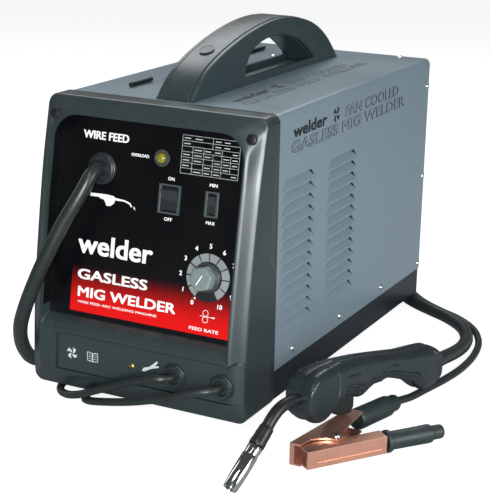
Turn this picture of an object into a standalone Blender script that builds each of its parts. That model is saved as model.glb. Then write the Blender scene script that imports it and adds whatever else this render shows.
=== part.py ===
"""A small gas-less wire-feed welding machine with its torch, earth clamp and leads.

The machine's own frame: X to the right, Y to the back from the seam between the
front bezel and the steel cover, Z up from the floor. Lengths are in millimetres
and are turned into metres as each mesh is made.
"""

import math

import bmesh
import bpy
import numpy as np
from mathutils import Matrix, Vector

MM = 0.001
GAP = 0.3  # clearance that touching pieces keep

# ---- driving dimensions (mm) ----
ORIGIN_X, ORIGIN_Y = 84.6, 112.56  # middle of the footprint, in the machine's frame
BODY_W = 240.0
BODY_D = 402.7
BODY_TOP = 304.7
BASE_BOTTOM = 16.1
BASE_TOP = 47.2
SHEET = 1.5
BEZEL_HALF = 122.0
BEZEL_TOP, BEZEL_BOTTOM = 306.3, 12.9
OPENING_HALF = 105.6
OPENING_TOP, OPENING_BOTTOM = 290.0, 88.0
PANEL_SLOPE = 0.164  # how far the control panel leans back for each mm it rises
PANEL_Y0, PANEL_Z0 = -26.6, 274.0
PANEL_THICK = 2.5
FASCIA_Y = -69.0
DOOR_SEAM_X = -70.0
HINGE_X, HINGE_Z = -74.0, 307.4
HANDLE_HALF = 21.0
FAN_X, FAN_Z = 38.0, 175.0
SPOOL_Y, SPOOL_Z, SPOOL_R = 265.0, 170.0, 50.0
SPOOL_MID_X = -78.0
ROLLER_Y, ROLLER_Z = 95.0, 168.0
DRIVE_R, IDLER_R = 15.0, 14.0
LEAD_TORCH_D, LEAD_THIN_D = 15.0, 8.0
TORCH_TIP = (164.4, -176.2)
TORCH_HEADING = (0.2031, 0.9792)
TORCH_HALF = 16.0
RIVET_X, RIVET_Y = 215.7, -58.0
COIL_X, COIL_Y, COIL_MID_R = -45.0, 462.0, 44.0
ROUND = 28  # sides of an ordinary round piece

FINISHES = {  # base colour, roughness, metallic
    "cover_paint": ((0.21, 0.25, 0.29), 0.38, 0.1),
    "charcoal_plastic": ((0.045, 0.055, 0.06), 0.5, 0.0),
    "base_paint": ((0.012, 0.016, 0.022), 0.45, 0.0),
    "panel_print": ((0.012, 0.012, 0.014), 0.35, 0.0),
    "black_plastic": ((0.015, 0.015, 0.016), 0.4, 0.0),
    "rubber": ((0.02, 0.021, 0.021), 0.7, 0.0),
    "cable_jacket": ((0.025, 0.03, 0.03), 0.5, 0.0),
    "zinc_steel": ((0.5, 0.5, 0.5), 0.35, 1.0),
    "silver_dial": ((0.6, 0.62, 0.64), 0.35, 0.8),
    "knob_grey": ((0.25, 0.26, 0.27), 0.4, 0.1),
    "amber_lens": ((0.6, 0.5, 0.02), 0.15, 0.0),
    "steel_laminations": ((0.1, 0.1, 0.11), 0.5, 0.7),
    "copper_wire": ((0.5, 0.2, 0.08), 0.35, 0.9),
    "aluminium": ((0.6, 0.6, 0.61), 0.4, 0.9),
    "copper_plate": ((0.72, 0.33, 0.24), 0.32, 0.9),
    "chrome": ((0.75, 0.76, 0.77), 0.1, 1.0),
    "grip_rubber": ((0.03, 0.042, 0.042), 0.55, 0.0),
    "torch_plastic": ((0.018, 0.021, 0.025), 0.42, 0.0),
}


def clear_scene():
    for obj in list(bpy.data.objects):
        bpy.data.objects.remove(obj, do_unlink=True)


def finish(name):
    """The Principled material of that name, made once."""
    if name in bpy.data.materials:
        return bpy.data.materials[name]
    colour, roughness, metallic = FINISHES[name]
    material = bpy.data.materials.new(name)
    material.use_nodes = True
    shader = material.node_tree.nodes["Principled BSDF"]
    shader.inputs["Base Color"].default_value = (*colour, 1.0)
    shader.inputs["Roughness"].default_value = roughness
    shader.inputs["Metallic"].default_value = metallic
    return material


def add_object(name, mesh, material, at=(0, 0, 0), turn=(0, 0, 0)):
    """An object of this mesh under the machine's frame, its origin at `at`."""
    obj = bpy.data.objects.new(name, mesh)
    bpy.context.scene.collection.objects.link(obj)
    obj.parent = bpy.data.objects["machine_frame"]
    obj.location = Vector(at) * MM
    obj.rotation_euler = turn
    if material:
        obj.data.materials.append(finish(material))
    return obj


def mesh_from(name, verts, faces, smooth_angle=35):
    """A mesh in metres from points in mm, with its faces turned outwards."""
    work = bmesh.new()
    points = [work.verts.new(Vector(p) * MM) for p in verts]
    for face in faces:
        work.faces.new([points[i] for i in face])
    bmesh.ops.recalc_face_normals(work, faces=work.faces)
    mesh = bpy.data.meshes.new(name)
    work.to_mesh(mesh)
    work.free()
    mesh.shade_smooth()
    mesh.set_sharp_from_angle(angle=math.radians(smooth_angle))
    return mesh


def box(name, low, high, material=None, at=(0, 0, 0), turn=(0, 0, 0)):
    (x0, y0, z0), (x1, y1, z1) = low, high
    verts = [(x, y, z) for x in (x0, x1) for y in (y0, y1) for z in (z0, z1)]
    faces = [(0, 1, 3, 2), (4, 6, 7, 5), (0, 4, 5, 1), (2, 3, 7, 6), (0, 2, 6, 4), (1, 5, 7, 3)]
    return add_object(name, mesh_from(name, verts, faces), material, at, turn)


def on_axis(axis, a, b, t):
    """A point t along an axis, with a and b across it."""
    return {"X": (t, a, b), "Y": (a, t, b), "Z": (a, b, t)}[axis]


def extrude(name, outline, axis, start, stop, material=None, at=(0, 0, 0), turn=(0, 0, 0)):
    """A closed outline, given across the axis, extruded from start to stop along it."""
    count = len(outline)
    verts = [on_axis(axis, a, b, t) for t in (start, stop) for a, b in outline]
    faces = [tuple(range(count)), tuple(range(2 * count - 1, count - 1, -1))]
    faces += [(i, (i + 1) % count, count + (i + 1) % count, count + i) for i in range(count)]
    return add_object(name, mesh_from(name, verts, faces), material, at, turn)


def turned(name, profile, axis, material=None, at=(0, 0, 0), turn=(0, 0, 0), sides=ROUND, ring=False):
    """A profile of (radius, along) turned about the axis. ring joins its two ends."""
    verts, faces = [], []
    for radius, along in profile:
        for k in range(sides):
            angle = 2 * math.pi * k / sides
            verts.append(on_axis(axis, radius * math.cos(angle), radius * math.sin(angle), along))
    rows = len(profile)
    for r in range(rows if ring else rows - 1):
        below, above = r * sides, ((r + 1) % rows) * sides
        for k in range(sides):
            n = (k + 1) % sides
            faces.append((below + k, below + n, above + n, above + k))
    if not ring:
        faces += [tuple(range(sides)), tuple(range(len(verts) - 1, len(verts) - sides - 1, -1))]
    return add_object(name, mesh_from(name, verts, faces), material, at, turn)


def rounded_rect(x0, x1, z0, z1, radius, steps=4):
    """The outline of a rectangle with round corners, anticlockwise."""
    outline = []
    corners = ((x1 - radius, z1 - radius, 0), (x0 + radius, z1 - radius, 90),
               (x0 + radius, z0 + radius, 180), (x1 - radius, z0 + radius, 270))
    for cx, cz, first in corners:
        for k in range(steps + 1):
            angle = math.radians(first + 90 * k / steps)
            outline.append((cx + radius * math.cos(angle), cz + radius * math.sin(angle)))
    return outline


def disc(cx, cz, radius, sides=16):
    return [(cx + radius * math.cos(2 * math.pi * k / sides), cz + radius * math.sin(2 * math.pi * k / sides))
            for k in range(sides)]


def cut(obj, cutters):
    """Takes the cutters away from the object with Booleans, and hides them."""
    for cutter in cutters:
        cutter.hide_render = True
        cutter.display_type = "WIRE"
        modifier = obj.modifiers.new("cut_" + cutter.name, "BOOLEAN")
        modifier.operation = "DIFFERENCE"
        modifier.object = cutter
    return obj


def join_on(obj, extras):
    """Joins the extras to the object with Boolean unions, and hides them."""
    for extra in extras:
        extra.hide_render = True
        extra.display_type = "WIRE"
        modifier = obj.modifiers.new("join_" + extra.name, "BOOLEAN")
        modifier.operation = "UNION"
        modifier.object = extra
    return obj


def smooth_route(points, spacing):
    """The first point, then points about `spacing` apart on a centripetal Catmull-Rom curve through the rest."""
    route = np.array(points[1:], float)
    ends = np.vstack([2 * route[0] - route[1], route, 2 * route[-1] - route[-2]])
    fine = [route[0]]
    for a, b, c, d in zip(ends, ends[1:], ends[2:], ends[3:]):
        knots = np.cumsum([0] + [math.sqrt(np.linalg.norm(q - p)) for p, q in ((a, b), (b, c), (c, d))])
        t0, t1, t2, t3 = knots
        for t in np.linspace(t1, t2, 13)[1:]:
            ab = ((t1 - t) * a + (t - t0) * b) / (t1 - t0)
            bc = ((t2 - t) * b + (t - t1) * c) / (t2 - t1)
            cd = ((t3 - t) * c + (t - t2) * d) / (t3 - t2)
            abc = ((t2 - t) * ab + (t - t0) * bc) / (t2 - t0)
            bcd = ((t3 - t) * bc + (t - t1) * cd) / (t3 - t1)
            fine.append(((t2 - t) * abc + (t - t1) * bcd) / (t2 - t1))
    fine = np.array(fine)
    along = np.concatenate([[0], np.cumsum(np.linalg.norm(np.diff(fine, axis=0), axis=1))])
    wanted = np.linspace(0, along[-1], max(2, round(along[-1] / spacing) + 1))
    smooth = np.stack([np.interp(wanted, along, fine[:, k]) for k in range(3)], axis=1)
    return np.vstack([points[0], smooth])


def lead(name, route, diameter, material, spacing, resolution=2):
    """A round lead along the route, as a bevelled poly curve with filled ends."""
    curve = bpy.data.curves.new(name, "CURVE")
    curve.dimensions = "3D"
    curve.bevel_depth = diameter / 2 * MM
    curve.bevel_resolution = resolution
    curve.use_fill_caps = True
    points = smooth_route(route, spacing)
    spline = curve.splines.new("POLY")
    spline.points.add(len(points) - 1)
    for target, point in zip(spline.points, points):
        target.co = (*(Vector(point) * MM), 1.0)
    return add_object(name, curve, material)


# ---- enclosure ----
def panel_y(z):
    """How far back the control panel's face is at height z."""
    return PANEL_Y0 - PANEL_SLOPE * (PANEL_Z0 - z)


PANEL_TURN = (-math.atan(PANEL_SLOPE), 0, 0)


def on_panel(x, z, out=0.0):
    """The point `out` in front of the panel's face at (x, z)."""
    lean = math.atan(PANEL_SLOPE)
    return (x, panel_y(z) - out * math.cos(lean), z + out * math.sin(lean))


def base_tray():
    tray = box("base_tray", (-119.5, 1, BASE_BOTTOM), (119.5, 401.5, BASE_TOP - GAP), "base_paint")
    inside = box("tray_inside", (-117.5, -9, BASE_BOTTOM + 2), (117.5, 399.5, 99))
    cut(tray, [inside])


def feet():
    """Four round rubber feet, set in so that the leads pass outside and between them."""
    for end, y in (("front", 35.0), ("rear", 365.0)):
        for side, x in (("left", -88.0), ("right", 88.0)):
            profile = [(9, 0), (11, 2), (11, 12), (8, BASE_BOTTOM - GAP)]
            turned(f"foot_{end}_{side}", profile, "Z", "rubber", at=(x, y, 0), sides=16)


def louvre_slots():
    """The slots under two columns of thirteen louvres."""
    slots = []
    for column, (y0, y1) in enumerate(((12.0, 84.0), (117.0, 192.0))):
        for row in range(13):
            z = 83.5 + 12.1 * row
            slots.append(box(f"slot_{column}_{row}", (110, y0, z), (130, y1, z + 2.5)))
    return slots


def cover():
    """The top and the right side, in one folded sheet with louvre slots."""
    w, t, top = BODY_W / 2, SHEET, BODY_TOP
    outline = [(DOOR_SEAM_X + GAP, top), (DOOR_SEAM_X + GAP, top - t), (w - t - 2, top - t),
               (w - t, top - t - 2), (w - t, BASE_TOP), (w, BASE_TOP), (w, top - 3.5), (w - 1, top - 1),
               (w - 3.5, top)]
    sheet = extrude("cover", outline, "Y", 0.5, BODY_D, "cover_paint")
    cut(sheet, louvre_slots())


def rear_panel():
    """The back plate, with a round grille of slots behind the fan."""
    side, top = BODY_W / 2 - SHEET - GAP, BODY_TOP - 3.6
    outline = [(-side + 1, BASE_TOP + 0.5), (side, BASE_TOP + 0.5), (side, top - 2.6), (side - 2.6, top),
               (-side + 3.6, top), (-side + 1, top - 2.6)]
    plate = extrude("rear_panel", outline, "Y", 399.8, 401.3, "cover_paint")
    slots = []
    for row in range(7):
        z = FAN_Z - 36 + 12 * row
        half = math.sqrt(44 ** 2 - (z - FAN_Z) ** 2)
        slots.append(box(f"grille_{row}", (FAN_X - half, 390, z - 2.5), (FAN_X + half, 410, z + 2.5)))
    cut(plate, slots)


BEZEL_EDGE = [(BEZEL_TOP, -30), (288, -35), (243, -43.5), (171, -53), (110, -60), (60, -63), (31, -63.5),
              (BEZEL_BOTTOM, -61)]
BEZEL_CREST = [(BEZEL_TOP, -31), (290, -38.5), (243, -48), (171, -60), (95, -70), (60, -72), (31, -70.5),
               (BEZEL_BOTTOM, -62)]


def along_profile(profile, z):
    heights = [p[0] for p in reversed(profile)]
    depths = [p[1] for p in reversed(profile)]
    return float(np.interp(z, heights, depths))


def front_bezel():
    """A deep moulded frame. Each section of it runs from the cover's seam over the
    side edge and the crest to the edge of the opening, and back along the inside."""
    outer = frame_outline(BEZEL_HALF, BEZEL_BOTTOM, BEZEL_TOP, 9)
    crest = frame_outline(OPENING_HALF + 0.8, 31, OPENING_TOP + 0.8, 25)
    inner = frame_outline(OPENING_HALF, OPENING_BOTTOM, OPENING_TOP, 25)
    count = len(outer)
    verts = [(x, 0, z) for x, z in outer]
    verts += [(x, along_profile(BEZEL_EDGE, z), z) for x, z in outer]
    verts += [(x, along_profile(BEZEL_CREST, z), z) for x, z in crest]
    verts += [(x, along_profile(BEZEL_CREST, z), z) for x, z in inner]
    verts += [(x, 0, z) for x, z in inner]
    faces = []
    for row in range(5):
        for k in range(count):
            n = (k + 1) % count
            low, high = row * count, ((row + 1) % 5) * count
            faces.append((low + k, low + n, high + n, high + k))
    frame = add_object("front_bezel", mesh_from("front_bezel", verts, faces), "charcoal_plastic")
    pocket = box("fascia_pocket", (-89.5, -99, 31), (114.5, FASCIA_Y + 3.5, 69.5))
    cut(frame, [pocket])


def frame_outline(half, z0, z1, radius, steps=4, side_steps=7):
    """A rounded rectangle whose long sides carry extra points, so that two of them pair up."""
    corners = rounded_rect(-half, half, z0, z1, radius, steps)
    count = steps + 1
    outline = []
    for corner in range(4):
        outline += corners[corner * count:(corner + 1) * count]
        a = Vector(corners[(corner + 1) * count - 1])
        b = Vector(corners[((corner + 1) * count) % len(corners)])
        outline += [tuple(a.lerp(b, k / side_steps)) for k in range(1, side_steps)]
    return outline


def control_panel():
    """The flat printed plate at the bottom of the bezel's opening."""
    edge = GAP + 0.2
    outline = rounded_rect(-OPENING_HALF + edge, OPENING_HALF - edge, OPENING_BOTTOM + edge, OPENING_TOP - edge, 25)
    count = len(outline)
    verts = [(x, panel_y(z) + depth, z) for depth in (0, PANEL_THICK) for x, z in outline]
    faces = [tuple(range(count)), tuple(range(2 * count - 1, count - 1, -1))]
    faces += [(i, (i + 1) % count, count + (i + 1) % count, count + i) for i in range(count)]
    plate = add_object("control_panel", mesh_from("control_panel", verts, faces), "panel_print")
    holes = []
    for name, (x, z), (width, height) in SWITCHES:
        holes.append(box(f"{name}_hole", (-width / 2 + 1.2, -9, -height / 2 + 1.2),
                         (width / 2 - 1.2, 9, height / 2 - 1.2), at=on_panel(x, z), turn=PANEL_TURN))
    cut(plate, holes)


def lower_fascia():
    box("lower_fascia", (-89, FASCIA_Y, 31.5), (114, FASCIA_Y + 3, 69), "charcoal_plastic")


# ---- carrying handle: an arch of two cheeks and a core between them ----
HANDLE_OUTER = [(10, 305.1), (20, 315.6), (39.6, 329.6), (64.3, 340.7), (92.4, 349.8), (126.8, 358), (160, 363.5),
                (188, 366), (218, 366), (249, 362), (281, 354.5), (304, 345.5), (327, 332), (345, 317), (357, 305.1)]
HANDLE_INNER = [(298, 305.1), (293, 312), (277, 324), (250, 337.7), (213, 346.8), (183, 348.3), (155, 344.7),
                (133, 335.4), (124, 320), (121, 305.1)]


def inset(outline, distance, floor_z):
    """The outline moved inwards, with its foot kept on the cover."""
    points = [Vector(p) for p in outline]
    moved = []
    for i, p in enumerate(points):
        before, after = points[i - 1], points[(i + 1) % len(points)]
        normal = Vector((-(after - before).y, (after - before).x)).normalized()
        q = p + normal * distance
        moved.append((q.x, floor_z if p.y <= floor_z + 0.01 else q.y))
    return moved


def handle():
    outline = HANDLE_OUTER + HANDLE_INNER
    side = 5.0
    for name, x0, x1 in (("handle_cheek_left", -HANDLE_HALF, -HANDLE_HALF + side),
                         ("handle_cheek_right", HANDLE_HALF - side, HANDLE_HALF)):
        cheek = extrude(name, outline, "X", x0, x1, "charcoal_plastic")
        join_on(cheek, [box(name + "_foot", (x0, 100, 305.1), (x1, 320, 312.5))])
    core = HANDLE_HALF - side - GAP
    extrude("handle_core", inset(outline, 1.2, 305.1), "X", -core, core, "charcoal_plastic")


def side_door():
    """The left side and its turned-over top edge, hung from two hinges on top."""
    w, t, top = BODY_W / 2, SHEET, BODY_TOP
    outline = [(DOOR_SEAM_X - GAP, top), (-w + 3.5, top), (-w + 1, top - 1), (-w, top - 3.5), (-w, BASE_TOP + GAP),
               (-w + t, BASE_TOP + GAP), (-w + t, top - t - 2), (-w + t + 2, top - t), (DOOR_SEAM_X - GAP, top - t)]
    extrude("side_door", outline, "Y", 0.8, BODY_D - 0.4, "cover_paint")


def hinge_pins():
    for name, y in (("hinge_pin_front", 70.0), ("hinge_pin_rear", 332.0)):
        turned(name, [(2.3, y - 21), (2.3, y + 21)], "Y", "zinc_steel", at=(HINGE_X, 0, HINGE_Z), sides=12)


LATCH_AT = (-BODY_W / 2 - GAP, 200.0, 66.0)


def door_latch():
    """A quarter-turn knob on the door, with a grip bar across it."""
    knob = turned("door_latch", [(11, 0), (11, -2), (10, -3)], "X", "black_plastic", at=LATCH_AT, sides=20)
    bar = box("latch_bar", (-6, -8, -2.5), (-2, 8, 2.5), at=LATCH_AT)
    join_on(knob, [bar])


# ---- inside: electrics ----
def divider_wall():
    box("divider_wall", (-20, 4, BASE_BOTTOM + 2 + GAP), (-18, 398, 300), "zinc_steel")


def transformer():
    """A laminated core with two windows, and a coil round its middle leg."""
    core = box("transformer_core", (10, 165, 18.6), (106, 225, 98.6), "steel_laminations")
    windows = [box("window_left", (26, 150, 34.6), (42, 240, 82.6)), box("window_right", (74, 150, 34.6),
    (90, 240, 82.6))]
    cut(core, windows)
    coil = box("transformer_winding", (28, 150, 36), (88, 240, 81), "copper_wire")
    cut(coil, [box("coil_hole", (41.6, 164.4, 20), (74.4, 225.6, 99))])


def rectifier():
    """A finned aluminium heat sink."""
    fins, pitch = 6, 9.0
    outline = [(0, 0), (0, 5)]
    for k in range(fins):
        outline += [(k * pitch, 5), (k * pitch, 32), (k * pitch + 3, 32), (k * pitch + 3, 5)]
    outline = [outline[0]] + outline[2:] + [(fins * pitch - 6, 0)]
    extrude("rectifier", outline, "Y", 0, 70, "aluminium", at=(40, 285, 18.6))


def fan():
    turned("fan_motor", [(17, 352), (19, 354), (19, 374), (4, 374), (4, 377)], "Y", "black_plastic",
           at=(FAN_X, 0, FAN_Z), sides=20)
    hub = turned("fan_blades", [(11, -7), (11, 7)], "Y", "black_plastic", at=(FAN_X, 385, FAN_Z), sides=20)
    blades = []
    for k in range(5):
        blade = box(f"blade_{k}", (8, -1, -13), (42, 1, 13), at=(FAN_X, 385, FAN_Z))
        turn = Matrix.Rotation(2 * math.pi * k / 5, 4, "Y") @ Matrix.Rotation(math.radians(28), 4, "X")
        blade.rotation_euler = turn.to_euler()
        blades.append(blade)
    join_on(hub, blades)


# ---- inside: wire feed ----
def wire_feed():
    box("feeder_plate", (-23, 30, 120), (-20 - GAP, 175, 215), "zinc_steel")
    turned("feed_motor", [(21, -17.7), (21, 30), (16, 34)], "X", "zinc_steel", at=(0, ROLLER_Y, ROLLER_Z), sides=20)
    turned("drive_roller", [(8, -23.4), (DRIVE_R, -24), (DRIVE_R, -30), (DRIVE_R - 1, -31), (DRIVE_R, -32),
                            (DRIVE_R, -38), (5, -38),
                            (5, -42)], "X", "zinc_steel", at=(0, ROLLER_Y, ROLLER_Z), sides=24)
    turned("idler_roller", [(3.6, -37), (IDLER_R, -37), (IDLER_R, -25), (3.6, -25)], "X", "zinc_steel", at=IDLER_AT,
           sides=20, ring=True)
    turned("tension_knob", [(2.5, 210.3), (2.5, 216), (9, 216), (9, 236), (7.5, 239)], "Z", "black_plastic",
           at=(-42.5, 68, 0), sides=16)
    turned("wire_guide", [(2, 35), (7.6, 35), (7.6, 72), (2, 72)], "Y", "zinc_steel", at=(-31, 0, 184), sides=14,
           ring=True)


ARM_PIVOT = (155.0, 184.0)
IDLER_AT = (0, ROLLER_Y, ROLLER_Z + DRIVE_R + IDLER_R + 0.4)


def pressure_arm():
    """The lever that presses the idler down, with the idler's pin and its own pivot boss."""
    outline = [(150, 178), (160, 178), (160, 190), (152, 210), (62, 210), (62, 202), (84, 200), (88, 188), (102, 188),
               (106, 199), (150, 196)]
    arm = extrude("pressure_arm", [(y - ARM_PIVOT[0], z - ARM_PIVOT[1]) for y, z in outline], "X", -45, -40,
                  "black_plastic", at=(0, *ARM_PIVOT))
    join_on(arm, [turned("idler_pin", [(3.3, -42), (3.3, -24)], "X", at=IDLER_AT, sides=12),
                  turned("arm_boss", [(4, -42), (4, -23.4)], "X", at=(0, *ARM_PIVOT), sides=12)])


def spool():
    """A plastic reel of wire on a shaft that stands out of the divider wall."""
    turned("spool_shaft", [(7.5, -20 - GAP), (7.5, -104), (6, -106)], "X", "black_plastic", at=(0, SPOOL_Y, SPOOL_Z),
           sides=20)
    x0, x1 = SPOOL_MID_X - 22, SPOOL_MID_X + 22
    reel = [(7.9, x0), (SPOOL_R, x0), (SPOOL_R, x0 + 3), (22, x0 + 3), (22, x1 - 3), (SPOOL_R, x1 - 3), (SPOOL_R, x1),
            (7.9, x1)]
    turned("wire_spool", reel, "X", "black_plastic", at=(0, SPOOL_Y, SPOOL_Z), sides=32, ring=True)
    wound = [(22.3, x0 + 3.3), (42, x0 + 3.3), (42, x1 - 3.3), (22.3, x1 - 3.3)]
    turned("wire_winding", wound, "X", "zinc_steel", at=(0, SPOOL_Y, SPOOL_Z), sides=32, ring=True)


# ---- controls ----
SWITCHES = (("power", (22.6, 218.5), (24.4, 29.0)), ("range", (68.9, 219.4), (14.8, 25.0)))
ROCKER_REST = math.radians(10)  # the bottom half is pressed in
DIAL_AT = (71.9, 150.5)


def rocker_outline(radius):
    """A rocker's side view about its pivot: arched ends and a shallow V across the front."""
    tip = math.radians(32)
    points = [(-radius * math.sin(tip), radius * math.cos(tip)), (-radius * 0.41, 0),
              (-radius * math.sin(tip), -radius * math.cos(tip))]
    for degrees in (10, -15, -35):
        a = math.radians(degrees)
        points.append((-radius * math.sin(a), -radius * math.cos(a)))
    for degrees in (-35, -15, 10):
        a = math.radians(degrees)
        points.append((-radius * math.sin(a), radius * math.cos(a)))
    c, s = math.cos(ROCKER_REST), math.sin(ROCKER_REST)
    return [(y * c - z * s, y * s + z * c) for y, z in points]


def switches():
    for name, (x, z), (width, height) in SWITCHES:
        housing = box(f"{name}_switch_housing", (-width / 2, -1.8, -height / 2), (width / 2, -GAP, height / 2),
                      "black_plastic", at=on_panel(x, z), turn=PANEL_TURN)
        body = box(f"{name}_switch_body", (-width / 2 + 1.6, -1, -height / 2 + 1.6),
                   (width / 2 - 1.6, 20, height / 2 - 1.6), at=on_panel(x, z), turn=PANEL_TURN)
        radius = height / 2 - 2.5
        pocket = box(f"{name}_switch_pocket", (-width / 2 + 2.8, -9, -radius - 0.4),
        (width / 2 - 2.8, 15, radius + 0.4),
                     at=on_panel(x, z), turn=PANEL_TURN)
        join_on(housing, [body])
        cut(housing, [pocket])
        extrude(f"{name}_rocker", rocker_outline(radius), "X", -width / 2 + 3.2, width / 2 - 3.2, "black_plastic",
                at=on_panel(x, z, -4), turn=PANEL_TURN)


def feed_dial():
    turned("dial_plate", [(23.5, -1.2), (23.5, -GAP)], "Y", "silver_dial", at=on_panel(*DIAL_AT), turn=PANEL_TURN,
           sides=36)
    skirt = turned("feed_knob", [(14.5, -1.6), (14.5, -4.5), (13, -5.5)], "Y", "knob_grey", at=on_panel(*DIAL_AT),
                   turn=PANEL_TURN, sides=30)
    flats = [(13 * math.cos(math.radians(60 * k + 30)), 13 * math.sin(math.radians(60 * k + 30))) for k in range(6)]
    grip = extrude("knob_grip", flats, "Y", -17.5, -5, at=on_panel(*DIAL_AT), turn=PANEL_TURN)
    join_on(skirt, [grip])
    turned("overload_lamp", [(8.5, -GAP), (8.5, -1.6), (5.2, -2), (4.6, -4.2), (2.5, -5.6)], "Y", "amber_lens",
           at=on_panel(10.5, 256.4), turn=PANEL_TURN, sides=20)


def glands():
    """Cups that each lead comes out of. The lead stands on the bottom of its cup."""
    torch_cup = [(15.9, -GAP), (15.9, -3.5), (13.2, -5), (12.4, -2.4), (7, -2.4)]
    turned("torch_gland", torch_cup, "Y", "black_plastic", at=on_panel(*TORCH_GLAND), turn=PANEL_TURN, sides=28)
    for name, (x, z) in (("earth_gland", EARTH_GLAND), ("mains_gland", MAINS_GLAND)):
        profile = [(12.8, -GAP), (12.8, -2.5), (11, -6), (7.5, -6), (6.5, -2.5), (3, -2.5)]
        turned(name, profile, "Y", "black_plastic", at=(x, FASCIA_Y, z), sides=24)


TORCH_GLAND = (-55.8, 238.6)
EARTH_GLAND = (48.2, 52.7)
MAINS_GLAND = (100.6, 51.8)

# ---- leads, as points that each one passes through ----
TORCH_ROUTE = [(-55.8, -35.2, 239.1), (-55.8, -43, 240.3), (-56.5, -51.5, 236.5), (-60, -59, 224),
               (-67, -66, 208), (-77, -71, 189),
               (-88, -76, 165), (-99, -79, 142), (-109, -80, 120), (-119, -79, 98), (-130, -73, 75), (-139, -61, 54),
               (-146, -45, 35), (-152, -25, 19), (-157, -3, 9.5), (-161, 25, 7.8), (-164, 90, 7.8), (-166, 170, 7.8),
               (-167, 260, 7.8), (-166, 330, 8.2), (-162, 372, 12), (-156, 405, 16.4), (-145, 438, 13),
               (-127, 474, 8.4),
               (-98, 508, 7.8), (-55, 527, 7.8), (-10, 520, 7.8), (30, 492, 7.8), (60, 458, 7.8), (89, 420, 7.8),
               (118, 391, 7.8), (146, 373, 7.8), (176, 355, 7.8), (204, 329, 7.8), (222, 294, 8.5), (230, 254, 12),
               (233, 210, 19), (233, 180, 24), (232.6, 153.6, 26.5)]
EARTH_ROUTE = [(48.2, -71.9, 52.7), (47.8, -77.5, 52.9), (43, -83.5, 53.4), (30, -87, 51.8), (10, -88, 45),
               (-10, -88, 37), (-30, -87, 28.5),
               (-52, -84, 18.5), (-70, -77, 12), (-86, -66, 8), (-98, -51, 5.5), (-105, -32, 4.3), (-107, 0, 4.3),
               (-107, 100, 4.3), (-107, 220, 4.3), (-108, 320, 4.3), (-113, 365, 4.3), (-132, 392, 4.3),
               (-160, 411, 4.3), (-180, 440, 4.3), (-176, 480, 4.3), (-150, 518, 4.3), (-108, 543, 4.3),
               (-55, 549, 4.3),
               (0, 540, 4.3), (45, 508, 4.3), (77, 470, 4.3), (103, 432, 4.3), (130, 403, 4.3), (158, 383, 4.3),
               (188, 365, 4.3), (216, 337, 4.3), (235, 299, 4.3), (244, 255, 4.3), (245, 210, 4.3), (240, 170, 4.3),
               (232.5, 135, 4.3), (227.5, 105, 5.5), (225.5, 88, 8.5), (223.6, 72.2, 11.3)]
MAINS_ROUTE = [(100.6, -71.9, 51.8), (100.2, -77.5, 52), (96, -85, 52.2), (82, -90.5, 49.5), (52, -93, 39),
               (16, -93, 28), (-20, -88, 18.5),
               (-44, -79, 11.5), (-60, -63, 5.5), (-67, -43, 4.3), (-69, -10, 4.3), (-69, 100, 4.3), (-69, 220, 4.3),
               (-69, 330, 4.3), (-72, 385, 4.3), (-85, 410, 4.3), (-95.5, 436, 4.3)]
PLUG_AT = (33.0, 424.0)


def leads():
    lead("torch_lead", TORCH_ROUTE, LEAD_TORCH_D, "cable_jacket", 20)
    lead("earth_lead", EARTH_ROUTE, LEAD_THIN_D, "cable_jacket", 19)
    lead("mains_lead", MAINS_ROUTE, LEAD_THIN_D, "cable_jacket", 16)
    inner, outer, height = COIL_MID_R - 8, COIL_MID_R + 8, 16.3
    ring = [(inner, 0.3), (outer, 0.3), (outer, height), (inner, height)]
    turned("mains_coil", ring, "Z", "cable_jacket", at=(COIL_X, COIL_Y, 0), sides=28, ring=True)


def mains_plug():
    """A moulded three-pin plug lying on its back beside the coil."""
    x, y = PLUG_AT
    shell = extrude("mains_plug", [(-18, -15), (12, -19), (18, -19), (18, 19), (12, 19), (-18, 15)], "Z", 0.3, 26,
                    "black_plastic", at=(x, y, 0))
    pins = [box("pin_earth", (17, -2, 5), (33, 2, 8)), box("pin_live", (17, -12, 16), (33, -8, 19)),
            box("pin_neutral", (17, 8, 16), (33, 12, 19))]
    for pin in pins:
        pin.location = Vector((x, y, 0)) * MM
    join_on(shell, pins)


# ---- torch: drawn in the upright plane through its nozzle, as (along, height) ----
SHELL_OUTLINE = [(99, 48), (112, 34.5), (127, 32), (140, 38), (141, 50), (182, 50), (183, 38), (195, 37.5), (212, 42),
                 (236, 42), (262, 33), (283, 24), (303, 9.5), (322, 9.0), (331, 14), (336, 33), (333, 43), (326, 50),
                 (316, 55), (299, 57.5), (268, 61), (229, 70), (191, 78), (155, 83), (130, 83.5), (112, 81),
                 (101, 71)]
TRIGGER_OUTLINE = [(142, 45), (144, 37), (154, 29), (166, 25), (177, 24), (181.5, 30), (181.5, 45)]
TRIGGER_PIVOT = (145.0, 42.0)
NECK_ROUTE = [(99, 60), (95.5, 60.6), (90, 61.3), (80, 61.5), (70, 59), (61, 53.5), (54.5, 47.6)]
NOZZLE_TOP, SLEEVE_TOP = (38.5, 34.2), (51.5, 44.8)
NOZZLE_TIP = (3.0, 5.7)


def torch_point(along, height, aside=0.0):
    """A point of the torch's plane, in the machine's frame."""
    (x, y), (dx, dy) = TORCH_TIP, TORCH_HEADING
    return (x + along * dx + aside * dy, y + along * dy - aside * dx, height)


def torch_slab(name, outline, low, high, material, pivot=(0.0, 0.0)):
    """An outline of the torch's plane, extruded sideways, with its origin at the pivot."""
    dx, dy = TORCH_HEADING
    heading = math.atan2(dy, dx)
    local = [(along - pivot[0], height - pivot[1]) for along, height in outline]
    return extrude(name, local, "Y", -high, -low, material, at=torch_point(*pivot), turn=(0, 0, heading))


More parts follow.
